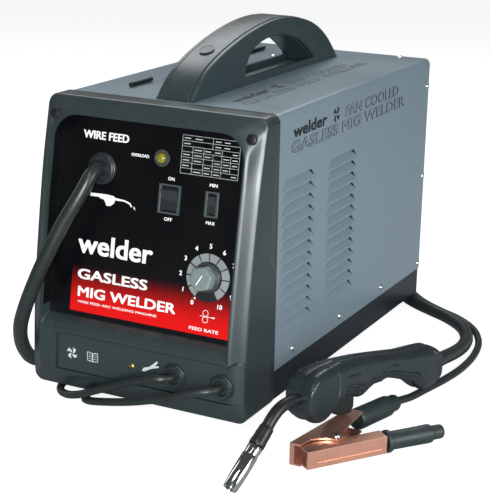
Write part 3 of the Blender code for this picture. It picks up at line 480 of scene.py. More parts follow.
def lead(name, points, diameter, node, body="machine", extra=()):
    # one open line through the route's points, given a round section
    line = bpy.data.curves.new(name, "CURVE")
    line.dimensions, line.bevel_depth = "3D", diameter / 2 * 0.001
    line.bevel_resolution, line.use_fill_caps = 5, True
    spline = line.splines.new("POLY")
    spline.points.add(len(points) - 1)
    placed = toFrame(points)
    spline.points.foreach_set("co", np.hstack([placed, np.ones((len(placed), 1))]).ravel())
    spline.use_smooth = True
    piece = bpy.data.objects.new(name, line)
    bpy.context.scene.collection.objects.link(piece)
    line.materials.append(materials["jacket"])
    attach(piece, body)
    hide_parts(*node)
    measured = float(np.linalg.norm(np.diff(placed, axis=0), axis=1).sum())
    print(f"{name}: {measured:.3f} m")
    return piece


def withStart(route, spacing):
    # the first point, then a smooth line through the rest
    return np.vstack([route[0], smoothRoute(route[1:], spacing)])


def makeLeads():
    lead("torchLead", withStart(torchRoute, 7), 15.0, ("torch_lead",))
    lead("earthLead", withStart(earthRoute, 5), 8.0, ("earth_lead",))
    turns = coilPoints()
    tail = [(3.5, 459, 12.3), (3, 446, 12.8), (1.5, 434, 13), (3.5, 426.5, 13), (9, 424.2, 13), (15.2, 424, 13)]
    path = np.vstack([mainsRoute[0], smoothRoute(mainsRoute[1:-1] + [(-84, 408, 4.3), (-91.5, 430, 4.3)]
                      + turns[1:-14:3].tolist() + tail, 4.5)])
    plug = cadCopy("mains_plug", "mainsPlug", "blackPlastic", width=2.2, segments=4)
    lead("mainsLead", path, 8.0, ("mains_lead", "mains_coil"))


makeLeads()
print("leads")

# ---------- bezel ----------
bezel = {"half": 122.0, "bottom": 12.9, "top": 306.3, "corner": 9.0, "openHalf": 105.6, "openBottom": 89.5,
         "openTop": 290.0, "openCorner": 25.0, "crestBottom": 31.0, "edgeRound": 3.0, "crestRound": 1.6}
edgeProfile = [(306.3, -26), (288, -30), (243, -40), (171, -52), (110, -60), (60, -63), (31, -63.5), (12.9, -61)]
crestProfile = [(306.3, -31), (290, -38.5), (243, -48), (171, -60), (95, -70), (60, -72), (31, -70.5), (12.9, -62)]


def depthAt(profile, z):
    # the bulged front's Y at height z, read from a smooth curve through the profile
    curve = smoothRoute(profile, 3)[::-1]
    return np.interp(z, curve[:, 0], curve[:, 1])


def frameOutline(half, low, high, radius, lowRadius=None, steps=9, sideSteps=26):
    # a rectangle with round corners, with as many points on each side as on any other
    points = []
    r, q = radius, radius if lowRadius is None else lowRadius
    corners = [(half - r, high - r, 0, r), (r - half, high - r, 90, r), (q - half, low + q, 180, q),
               (half - q, low + q, 270, q)]
    ends = []
    for cx, cz, first, bend in corners:
        a = np.radians(first + 90 * np.linspace(0, 1, steps + 1))
        ends.append(np.stack([cx + bend * np.cos(a), cz + bend * np.sin(a)], axis=1))
    for k in range(4):
        points.append(ends[k])
        a, b = ends[k][-1], ends[(k + 1) % 4][0]
        points.append(a + (b - a) * (np.arange(1, sideSteps) / sideSteps)[:, None])
    return np.vstack(points)


def bezelRows():
    # a closed section carried round the frame: seam, side, rounded edge, sloping border,
    # rounded crest, wall of the opening, and back behind the panel
    b = bezel
    outer = frameOutline(b["half"], b["bottom"], b["top"], b["corner"])
    crest = frameOutline(b["openHalf"] + 1.8, b["crestBottom"], b["openTop"] + 1.8, b["openCorner"] + 1, 5)
    inner = frameOutline(b["openHalf"], b["openBottom"], b["openTop"], b["openCorner"], 3)
    inward = crest - outer
    inward /= np.linalg.norm(inward, axis=1)[:, None]
    row = lambda xz, y: np.stack([xz[:, 0], y * np.ones(len(xz)), xz[:, 1]], axis=1)
    edge = depthAt(edgeProfile, outer[:, 1])
    rows = [row(outer + inward * 0.8, -0.3), row(outer, -1.1)]
    rows += [row(outer, edge * t) for t in (0.35, 0.7)]
    for angle in np.radians(np.linspace(0, 80, 6)):
        r = b["edgeRound"]
        rows.append(row(outer + inward * r * (1 - math.cos(angle)), edge + r * (1 - math.sin(angle))))
    start, startY = outer + inward * 3.2, edge
    for t in (0.25, 0.5, 0.75, 1.0):
        xz = start + (crest - start) * t
        rows.append(row(xz, startY + (depthAt(crestProfile, crest[:, 1]) - startY) * t))
    for t in (0.2, 0.4, 0.6, 0.76, 0.84):
        xz = crest + (inner - crest) * t
        rows.append(row(xz, depthAt(crestProfile, xz[:, 1])))
    # the last part rolls over the edge: a little at the sides, and down to the panel over the ridge
    panelAt = onPanel(0, 0)[1] + panelSlope * inner[:, 1]
    for t in np.linspace(0.2, 1, 5):
        xz = crest + (inner - crest) * (0.84 + 0.16 * t)
        front = depthAt(crestProfile, xz[:, 1])
        drop = np.where(inner[:, 1] < 92.6, (panelAt - 1.5 - front) * (0.75 * t * t + 0.25 * t), b["crestRound"] * t * t)
        rows.append(row(xz, front + drop))
    rows.append(row(inner, onPanel(0, 0)[1] + panelSlope * inner[:, 1] + 0.6))
    rows.append(row(inner, -4.0))
    rows.append(row(outer + inward * 4, -0.3))
    return rows


def rect(x0, z0, x1, z1):
    return [(x0, z0), (x1, z0), (x1, z1), (x0, z1)]


def pocketTop(x):
    # the fascia's upper edge: level, then an arc that rises round the mains gland to the side
    arc = 56.7 + np.sqrt(np.maximum(22.7 ** 2 - (x - 121.8) ** 2, 0))
    return np.where(x < 104.8, 75.0, np.where(x > 121.8, 79.4, arc))


def makeBezel():
    rows = bezelRows()
    frameShape = addPiece("bezel", np.vstack(rows), gridFaces(len(rows), len(rows[0]), True, True), "charcoal",
                          sharp=40, replaces=("front_bezel",))
    xs = np.concatenate([[-87.0], np.linspace(104.7, 121.8, 14), [126.0]])
    outline = [(-89.5, 35.0), (126.0, 35.0)] + [(x, float(pocketTop(x))) for x in xs[::-1]]
    cutWith(frameShape, *prism(outline, -90.0, -65.4))
    for x, low in ((-90.2, 72.0), (105.6, 76.0)):      # the seams at both ends of the ridge
        cutWith(frameShape, *prism(rect(x, low, x + 0.7, 95), -90.0, -66.5))
    # near-black sheet over the opening's sides and top: painted shade on the walls of the recess round the panel
    b = bezel
    ring = frameOutline(b["openHalf"] - 0.03, b["openBottom"], b["openTop"] - 0.03, b["openCorner"], 3)
    ring = np.roll(ring, -int(np.argmin(ring[:, 1] + ring[:, 0] * 1e-3)), 0)
    ring = ring[ring[:, 1] > 93]
    middle = np.array((0, 190.0))
    thin = ring + (middle - ring) / np.linalg.norm(middle - ring, axis=1)[:, None] * 0.3
    front, rear = depthAt(crestProfile, ring[:, 1]) + 2.2, onPanel(0, 0)[1] + panelSlope * ring[:, 1] - 0.2
    loops = [np.stack([o[:, 0], y, o[:, 1]], 1) for o, y in ((ring, front), (ring, rear), (thin, rear), (thin, front))]
    count = len(ring)
    faces = gridFaces(4, count, True, False) + [[k * count for k in range(4)], [k * count + count - 1 for k in range(4)]]
    addPiece("openingWallShade", np.vstack(loops), faces, "recessBlack", sharp=30)
    # fascia: a plate that is flat across the front and rolls back at its right end
    xs = np.concatenate([np.linspace(-88.6, 104, 24), np.linspace(104.9, 121.4, 20)])
    ts = np.linspace(0, 1, 9)
    low, high = 35.3 + 0 * xs, pocketTop(xs) - 1.5
    lean = np.clip((xs + 88.6) / -8, -1, 0) * 0
    x, t = np.meshgrid(xs, ts)
    z = low[None, :] + (high - low)[None, :] * t
    y = -69.0 + 5.2 * np.clip((x - 107.5) / 13.9, 0, 1) ** 2
    front = np.stack([x + lean, y, z], axis=-1)
    back = front + (0, 3.2, 0)
    loops = [front[:, :], back[:, ::-1]]
    ring = np.concatenate(loops, axis=1)
    count = ring.shape[1]
    faces = gridFaces(len(ts), count, False, True)
    half = len(xs)
    for r in (0, len(ts) - 1):
        faces += [[r * count + k, r * count + k + 1, r * count + count - 2 - k, r * count + count - 1 - k]
                  for k in range(half - 1)]
    plate = addPiece("fascia", ring.reshape(-1, 3), faces, "charcoal", sharp=30, replaces=("lower_fascia",))
    soften(plate, 0.5, 2, 50)
    for name, place in (("bezelPlugLeft", (-107.6, -37.6, 289.3)), ("bezelPlugRight", (110.6, -37.6, 287.8))):
        dome = [(5.3, -2), (5.3, 0.2), (5.0, 0.7), (3.4, 1.3), (1.6, 1.6), (0.5, 1.7)]
        addPiece(name, *turnedShape(dome, place, (0, -0.97, 0.24), 28), "blackPlastic")
    screw = [(3.1, -1), (3.1, 0.3), (2.6, 1.0), (1.5, 1.5), (0.4, 1.7)]
    addPiece("fasciaScrew", *turnedShape(screw, (-0.4, -69.0, 53.4), (0, -1, 0), 24), "brass")


makeBezel()
print("bezel and fascia")

# ---------- steel case ----------
case = {"half": 120.0, "top": 304.7, "sheet": 1.5, "bottom": 47.2, "bend": 6.5, "front": 0.4, "rear": 402.7}
louvre = {"first": 82.8, "pitch": 12.1, "count": 13, "height": 10.2, "depth": 7.0,
          "columns": (((9.0, 89.0), (18.0, 78.0)), ((115.0, 195.0), (124.0, 184.0)))}


def foldedOutline(seam, bottom):
    # top and one side of the case as a bent sheet, seen from the front, on the +X side
    c = case
    bend = np.radians(np.linspace(0, 90, 9))
    corner = lambda r: np.stack([c["half"] - c["bend"] + r * np.sin(bend), c["top"] - c["bend"] + r * np.cos(bend)], 1)
    outer, inner = corner(c["bend"]), corner(c["bend"] - c["sheet"])
    return np.vstack([[(seam, c["top"])], outer, [(c["half"], bottom), (c["half"] - c["sheet"], bottom)], inner[::-1],
                      [(seam, c["top"] - c["sheet"])]])


def louvreRows():
    for (low0, low1), (top0, top1) in louvre["columns"]:
        for k in range(louvre["count"]):
            yield louvre["first"] + louvre["pitch"] * k, low0, low1, top0, top1


def makeCase():
    shell = addPiece("cover", *prism(foldedOutline(-69.7, case["bottom"]), case["front"], case["rear"]), "coverPaint",
                     sharp=25, replaces=("cover",))
    points, faces = [], []
    for z, low0, low1, top0, top1 in louvreRows():
        window, sides = prism([(low0, z), (low1, z), (top1, z + louvre["height"]), (top0, z + louvre["height"])],
                              112.0, 128.0, "X")
        faces += [[i + len(points) for i in face] for face in sides]
        points += window
    cutWith(shell, points, faces)
    # tongues: each bends in from the window's lower edge, deeper as it rises
    t = np.array([0, 0.03, 0.2, 0.4, 0.6, 0.8, 1.0])[:, None, None]
    across = np.linspace(0, 1, 2)[None, :, None]
    points, faces = [], []
    for z, low0, low1, top0, top1 in louvreRows():
        left, right = low0 + (top0 - low0) * t, low1 + (top1 - low1) * t
        y = left + (right - left) * across
        depth = louvre["depth"] * np.minimum(t, 0.97) * (0.4 + 0.6 * across)
        height = z + (louvre["height"] + 0.6) * t + 0 * across
        front = np.concatenate([case["half"] - 0.02 - depth, y + 0 * depth, height], axis=2)
        back = front - (1.3, 0, 0)
        ring = np.concatenate([front, back[:, ::-1]], axis=1)
        start = sum(len(p) for p in points)
        quads = gridFaces(7, 4, False, True) + [[0, 1, 2, 3], [24, 25, 26, 27]]
        faces += [[i + start for i in face] for face in quads]
        points.append(ring.reshape(-1, 3))
    addPiece("louvreTongues", np.vstack(points), faces, "coverPaint", sharp=30)
    door = foldedOutline(-DoorSeam, case["bottom"] + 0.4) * (-1, 1)
    addPiece("sideDoor", *prism(door[::-1], case["front"] + 0.4, case["rear"] - 0.4), "coverPaint", "side_door", 25,
             replaces=("side_door",))
    screw = [(3.3, -0.5), (3.3, 0.5), (2.9, 1.2), (1.8, 1.8), (1.1, 1.9), (0.9, 0.9)]
    for k, (y, z) in enumerate(((44.1, 58.2), (161.6, 57.1), (279.3, 56.4), (398.2, 272.8), (398.2, 164.3), (398.2, 54.0))):
        addPiece(f"caseScrew{k}", *turnedShape(screw, (case["half"], y, z), (1, 0, 0), 20), "brightSteel")
    addPiece("topScrew", *turnedShape(screw, (-43, 315, case["top"]), (0, 0, 1), 20), "brightSteel")
    addPiece("topRearScrew", *turnedShape(screw, (82.9, 398.0, case["top"]), (0, 0, 1), 20), "brightSteel")
    cadCopy("base_tray", "baseTray", "basePaint", width=1.2)
    cadCopy("rear_panel", "rearPanel", "coverPaint", width=0.3, segments=2)
    for name in ("foot_front_left", "foot_front_right", "foot_rear_left", "foot_rear_right"):
        cadCopy(name, name + "_pad", "rubber", width=0.8)
    for name in ("hinge_pin_front", "hinge_pin_rear"):
        cadCopy(name, name + "_rod", "printDark", width=0.5)
    cadCopy("door_latch", "doorLatch", "blackPlastic", "door_latch", 0.6)


DoorSeam = -70.3
makeCase()
print("case")

# ---------- handle ----------
grip = {"outer": [(9.8, 305.1), (20, 315.6), (39.6, 329.6), (64.3, 340.7), (92.4, 349.6), (126.8, 358), (160, 363.5),
                  (188, 366), (218, 366), (249, 362), (281, 354.5), (304, 345.5), (327, 332), (345, 317), (357, 305.1)],
        "inner": [(298, 305.1), (293, 312), (277, 324), (250, 337.7), (213, 346.8), (183, 348.3), (155, 344.7),
                  (133, 335.4), (124, 320), (121, 305.1)], "half": 21.0, "cheek": 5.0}


def insetLoop(outline, distance, floor):
    # the closed outline moved inwards along its own normals, its foot kept level
    ahead, behind = np.roll(outline, -1, 0), np.roll(outline, 1, 0)
    run = ahead - behind
    normal = np.stack([-run[:, 1], run[:, 0]], 1) / np.linalg.norm(run, axis=1)[:, None]
    area = np.sum(outline[:, 0] * ahead[:, 1] - ahead[:, 0] * outline[:, 1])
    moved = outline + normal * distance * (1 if area > 0 else -1)
    return np.stack([moved[:, 0], np.where(outline[:, 1] <= floor + 0.02, floor, moved[:, 1])], 1)


def roundedSlab(outline, low, high, roundLow, roundHigh, floor=-1e9, grow=0.0):
    # an outline carried across X, with quarter rounds where it meets its two flat faces
    base = insetLoop(outline, -grow, floor)
    rows = []
    for angle in np.radians(np.linspace(90, 0, 6)):
        rows.append((insetLoop(base, roundLow * (1 - math.cos(angle)), floor), low + roundLow * (1 - math.sin(angle))))
    for angle in np.radians(np.linspace(0, 90, 6)):
        rows.append((insetLoop(base, roundHigh * (1 - math.cos(angle)), floor), high - roundHigh * (1 - math.sin(angle))))
    points = np.vstack([np.stack([x * np.ones(len(o)), o[:, 0], o[:, 1]], 1) for o, x in rows])
    count = len(outline)
    faces = gridFaces(len(rows), count, False, True)
    faces += [list(range(count)), list(range((len(rows) - 1) * count, len(rows) * count))]
    return points, faces


def makeHandle():
    outline = np.vstack([smoothRoute(grip["outer"], 4), smoothRoute(grip["inner"], 4)])
    half, cheek = grip["half"], grip["cheek"]
    addPiece("handleCheekRight", *roundedSlab(outline, half - cheek, half, 0.6, 2.6, 305.1), "handlePlastic",
             replaces=("handle_cheek_right",), sharp=50)
    addPiece("handleCheekLeft", *roundedSlab(outline, -half, -half + cheek, 2.6, 0.6, 305.1), "handlePlastic",
             replaces=("handle_cheek_left",), sharp=50)
    core = half - cheek - 0.3
    addPiece("handleCore", *roundedSlab(outline, -core, core, 1.4, 1.4, 305.1, 0.75), "handlePlastic",
             replaces=("handle_core",), sharp=50)
    for side, x0, x1 in (("Right", half - cheek, half - 0.6), ("Left", -half + 0.6, -half + cheek)):
        points, faces = prism([(100, 305.1), (320, 305.1), (320, 311.6), (319, 312.5), (101, 312.5), (100, 311.6)], x0, x1,
                              "X")
        soften(addPiece(f"handleStrip{side}", points, faces, "handlePlastic"), 0.6)
    # the recess for the fixing screw, an oval hollow in the front of the band
    slope = math.atan2(349.6 - 340.7, 92.4 - 64.3)
    well = [(7.5, 0.35), (6.6, 0.5), (6.0, -0.2), (5.2, -0.4), (0.4, -0.4)]
    points, faces = turnedShape(well, (0, 0, 0), (0, 0, 1), 36)
    points = points * (1.0, 1.25, 1.0)
    turn = np.array(Matrix.Rotation(slope, 3, "X"))
    addPiece("handleScrewWell", points @ turn.T + (0, 76, 346.6), faces, "blackPlastic")


makeHandle()
print("handle")

# ---------- lettering ----------
planes = {  # where the words stand: right, up and out of the surface
    "panel": lambda x, z: (onPanel(x, z, 0.1), (1, 0, 0), panelUp, panelNormal),
    "fascia": lambda x, z: (np.array([x, -69.1, z]), (1, 0, 0), (0, 0, 1), (0, -1, 0)),
    "side": lambda y, z: (np.array([case["half"] + 0.08, y, z]), (0, 1, 0), (0, 0, 1), (1, 0, 0)),
    "top": lambda y, x: (np.array([x, y, case["top"] + 0.08]), (0, 1, 0), (-1, 0, 0), (0, 0, 1)),
}


def wordMesh(text, height, width, plane, u, v, align="LEFT", weight=0.0, lift=0.0):
    # words as a thin solid: drawn flat, made a mesh, scaled to width, laid down a few times
    # a little apart to make them bolder, then stood on their plane
    curve = bpy.data.curves.new("words", "FONT")
    curve.body, curve.size, curve.resolution_u = text, 1.0, 3
    drawn = bpy.data.objects.new("words", curve)
    bpy.context.scene.collection.objects.link(drawn)
    scale = height / 0.73
    curve.extrude = 0.05 / scale
    bpy.context.view_layer.update()
    mesh = bpy.data.meshes.new_from_object(drawn.evaluated_get(bpy.context.evaluated_depsgraph_get()))
    bpy.data.objects.remove(drawn, do_unlink=True)
    points = np.array([p.co[:] for p in mesh.vertices]) * scale
    low, high = points.min(0)[0], points.max(0)[0]
    stretch = (width - 2 * weight) / (high - low) if width else 1.0
    full = (high - low) * stretch
    points[:, 0] = (points[:, 0] - low) * stretch - {"LEFT": 0, "CENTER": full / 2, "RIGHT": full}[align]
    flat = [list(f.vertices) for f in mesh.polygons]
    centre, right, upward, out = (np.array(a) for a in planes[plane](u, v))
    layers, faces = [], []
    shifts = [(0, 0)] if weight <= 0 else [(weight * a, weight * b) for a, b in ((-1, -0.6), (1, -0.6), (-1, 0.6), (1, 0.6))]
    for k, (dx, dy) in enumerate(shifts):
        h = points[:, 2:] + lift + 0.006 * k
        layers.append(centre + (points[:, :1] + dx) * right + (points[:, 1:2] + dy) * upward + h * out)
        faces += [[i + k * len(points) for i in face] for face in flat]
    return np.vstack(layers), faces


def shapeMesh(outline, plane, u, v, thick=0.1, lift=0.0):
    # a flat printed shape of pairs round (u, v), as a thin solid
    outline = np.asarray(outline, float)
    centre, right, upward, out = planes[plane](u, v)
    rows = []
    for h in (lift - 0.05, lift + thick - 0.05):
        rows.append(centre + outline[:, :1] * np.array(right) + outline[:, 1:2] * np.array(upward) + h * np.array(out))
    count = len(outline)
    faces = [list(range(count)), list(range(2 * count - 1, count - 1, -1))]
    faces += [[i, (i + 1) % count, count + (i + 1) % count, count + i] for i in range(count)]
    return np.vstack(rows), faces


def printed(name, shapes, material, body="machine"):
    # several words and shapes as one piece
    points, faces, start = [], [], 0
    for p, f in shapes:
        points.append(p)
        faces += [[i + start for i in face] for face in f]
        start += len(p)
    return addPiece(name, np.vstack(points), faces, material, body, 30)


def stroke(points, width):
    # an open line of pairs as a band of that width
    p = np.array(points, float)
    run = np.gradient(p, axis=0)
    side = np.stack([-run[:, 1], run[:, 0]], 1) / np.linalg.norm(run, axis=1)[:, None] * width / 2
    return np.vstack([p + side, (p - side)[::-1]])


def circleLine(radius, width, cx=0.0, cz=0.0, start=0.0, stop=354.0):
    a = np.radians(np.linspace(start, stop, 28))
    return stroke(np.stack([cx + radius * np.cos(a), cz + radius * np.sin(a)], 1), width)


def fanShape(radius, blades=4):
    # curved blades round a hub
    shapes = []
    for k in range(blades):
        r = radius * np.linspace(0.16, 1.0, 8)
        turn = 2 * math.pi * k / blades + np.linspace(0, 0.7, 8)
        front = np.stack([r * np.cos(turn), r * np.sin(turn)], 1)
        turn = turn + np.linspace(0.9, 0.75, 8)
        back = np.stack([r * np.cos(turn), r * np.sin(turn)], 1)
        shapes.append(np.vstack([front, back[::-1]]))
    return shapes


def makeLettering():
    white, pale = [], []
    word = lambda where, *a, **k: where.append(wordMesh(*a, **k))
    word(white, "welder", 20.5, 86.5, "panel", -76.6, 153.5, weight=0.75)
    word(white, "GASLESS", 10.2, 81, "panel", -74.6, 127.6, weight=0.5)
    word(white, "MIG WELDER", 10.2, 113, "panel", -73, 110.0, weight=0.5)
    word(white, "WIRE FEED ARC WELDING MACHINE", 2.4, 92, "panel", -73, 103.3, weight=0.08)
    word(white, "WIRE FEED", 8.0, 52.5, "panel", -80.2, 266.2, weight=0.35)
    word(white, "OVERLOAD", 3.0, 20, "panel", -24, 254.6, weight=0.12)
    word(white, "ON", 3.4, 7.2, "panel", 22.6, 236.4, align="CENTER", weight=0.12)
    word(white, "OFF", 3.4, 9.0, "panel", 22.6, 197.6, align="CENTER", weight=0.12)
    word(white, "MIN", 3.2, 8.6, "panel", 68.9, 236.0, align="CENTER", weight=0.12)
    word(white, "MAX", 3.2, 9.6, "panel", 68.9, 200.4, align="CENTER", weight=0.12)
    word(white, "FEED RATE", 3.2, 32, "panel", 71.9, 98.4, align="CENTER", weight=0.14)
    for k in range(11):
        a = math.radians(240 - 30 * k)
        word(white, str(k), 4.6, None, "panel", 71.9 + 30.3 * math.cos(a), 150.5 + 30.0 * math.sin(a) - 2.2,
             align="CENTER", weight=0.2)
    for k in range(8):                      # the rating table: a plain ruled grid with short bars
        pale.append(shapeMesh(rect(0, 0, 62.5, 0.3), "panel", 31.2, 244.8 + 36.2 * k / 7))
    for x, low, high in ((0, 0, 7), (12, 0, 5), (33, 5, 7), (24, 0, 5), (34, 0, 4), (43.5, 0, 5), (53, 1, 4), (62.2, 0, 7)):
        pale.append(shapeMesh(rect(0, 0, 0.3, 36.2 * (high - low) / 7), "panel", 31.2 + x, 244.8 + 36.2 * low / 7))
    for k in range(7):
        for n, (x, w) in enumerate(((2, 7), (14, 8), (25.5, 6), (36, 6), (45.5, 6), (55, 5.5))):
            if (k * 5 + n * 3) % 4 and not (k > 4 and n in (2, 5)):
                pale.append(shapeMesh(rect(0, 0, w, 0.8), "panel", 31.2 + x, 247.0 + 36.2 * k / 7))
    for cz in (108.8, 115.0):               # feed rollers and their arrow
        white.append(shapeMesh(circleLine(2.9, 0.5), "panel", 72.5, cz + 1.2))
    white.append(shapeMesh(rect(-6, -0.25, 8, 0.25), "panel", 72.5, 113.1))
    white.append(shapeMesh([(8, 1.1), (8, -1.1), (11, 0)], "panel", 72.5, 113.1))
    torchIcon = [(-29, 3.4), (-10, 3.8), (-2, 3.2), (0, 1.7), (11, 0.9), (17.5, -1.0), (20, -4.6), (18.6, -5.0),
                 (16.6, -2.4), (10.5, -0.6), (0, -0.6), (-1, -4.0), (-5, -7.0), (-9.4, -7.2), (-11, -4.2), (-13, -1.4),
                 (-17, -0.8), (-18.5, 0.4), (-29, 0.2)]
    white.append(shapeMesh(torchIcon, "panel", -38.5, 210.0))
    white.append(shapeMesh([(0, 1.4), (1.8, 0.6), (1.2, 0.0), (2.2, -2.4), (-0.2, -0.6), (0.6, -0.2)], "panel",
                           -17.0, 205.0))
    for shape in fanShape(6.3):             # small signs on the fascia
        pale.append(shapeMesh(shape, "fascia", -70.5, 54))
    book = [[(-6, -4), (-0.4, -5), (-0.4, 4), (-6, 5)], [(6, -4), (0.4, -5), (0.4, 4), (6, 5)]]
    for page in book:
        closed = np.array(page + page[:2], float)
        for a, b in zip(closed[:-1], closed[1:]):
            pale.append(shapeMesh(stroke([a, (a + b) / 2, b], 0.7), "fascia", -46.2, 54))
    for k in (-2, 0, 2):
        pale.append(shapeMesh(rect(1.4, k - 0.2, 4.9, k + 0.2), "fascia", -46.2, 54))
        pale.append(shapeMesh(rect(-4.9, k - 0.2, -1.4, k + 0.2), "fascia", -46.2, 54))
    clampIcon = [(-12, -6), (-9, -2.6), (-2.5, -0.6), (2.5, 3.2), (8, 8.4), (9.6, 7.0), (5.4, 1.6), (10.6, 2.8),
                 (10.8, 0.8), (3.8, -1.2), (-1.5, -3.4), (-6.5, -6.4), (-10.5, -7.4)]
    pale.append(shapeMesh(np.array(clampIcon) * 0.85, "fascia", 21.3, 57))
    printed("panelWhitePrint", white, "printWhite")
    printed("panelGreyPrint", pale, "printGrey")
    # the dark layer is partly dark print, the 'welder' word and the fan signs, and partly painted shade: the bold dark
    # rim round each cover-coloured raised letter of GASLESS MIG WELDER and FAN COOLED stands in for the shade at the
    # letters' edges
    edges, fills = [], []
    for plane, u, lowV, highV, sign in (("side", 30, 262.5, 277.5, 1), ("top", 33, 71.5, 56.5, -1)):
        word(edges, "GASLESS MIG WELDER", 11.5, 296 if sign > 0 else 300, plane, u, lowV, weight=0.85)
        word(fills, "GASLESS MIG WELDER", 11.5, 296 if sign > 0 else 300, plane, u, lowV, lift=0.12)
        word(edges, "FAN COOLED", 11.5, 148, plane, u + 128, highV, weight=0.85)
        word(fills, "FAN COOLED", 11.5, 148, plane, u + 128, highV, lift=0.12)
        word(edges, "welder", 12.0, 78, plane, u + 3, highV, weight=0.8)
        for shape in fanShape(8.5):
            edges.append(shapeMesh(shape, plane, u + 104, highV + 6 * sign))
    printed("caseDarkPrintAndRimShade", edges, "printDark")
    printed("casePalePrint", fills, "coverPaint")


makeLettering()
print("lettering")

# ---------- controls ----------
dial = {"at": (71.9, 150.5), "ringIn": 15.4, "ringOut": 23.2, "first": 240.0, "step": 30.0, "skirt": 14.4, "flat": 11.4,
        "corner": 12.9, "top": 17.2}
switches = ((22.6, 218.5, 24.4, 29.0), (68.9, 219.4, 14.8, 25.0))      # place on the panel, width and height


def tubeShape(path, radius, sides=20):
    # a round section carried along a path, its frame turned from point to point without twist
    path = np.array(path, float)
    run = np.gradient(path, axis=0)
    run /= np.linalg.norm(run, axis=1)[:, None]
    side = np.cross(run[0], (0.13, 0.31, 0.94))
    rows = []
    angle = np.linspace(0, 2 * math.pi, sides, endpoint=False)
    radius = np.broadcast_to(radius, (len(path),))
    for centre, along, r in zip(path, run, radius):
        side = side - along * np.dot(side, along)
        side /= np.linalg.norm(side)
        other = np.cross(along, side)
        rows.append(centre + r * (np.cos(angle)[:, None] * side + np.sin(angle)[:, None] * other))
    faces = gridFaces(len(path), sides, False, True)
    faces += [list(range(sides)), list(range((len(path) - 1) * sides, len(path) * sides))]
    return np.vstack(rows), faces


def ringSector(inner, outer, start, stop, steps=10):
    a = np.radians(np.linspace(start, stop, steps))
    arc = np.stack([np.cos(a), np.sin(a)], 1)
    return np.vstack([arc * outer, arc[::-1] * inner])


def hexLobes(angle, profile):
    # a hexagon's radius for each angle, with its corners held in by a circle
    turn = (angle + math.radians(90)) % math.radians(60) - math.radians(30)
    flat = dial["flat"] / np.cos(turn)
    held = (flat ** -14.0 + (dial["corner"] * 1.02) ** -14.0) ** (-1 / 14.0)
    return (held / dial["corner"])[None, :] * np.ones((len(profile), 1))


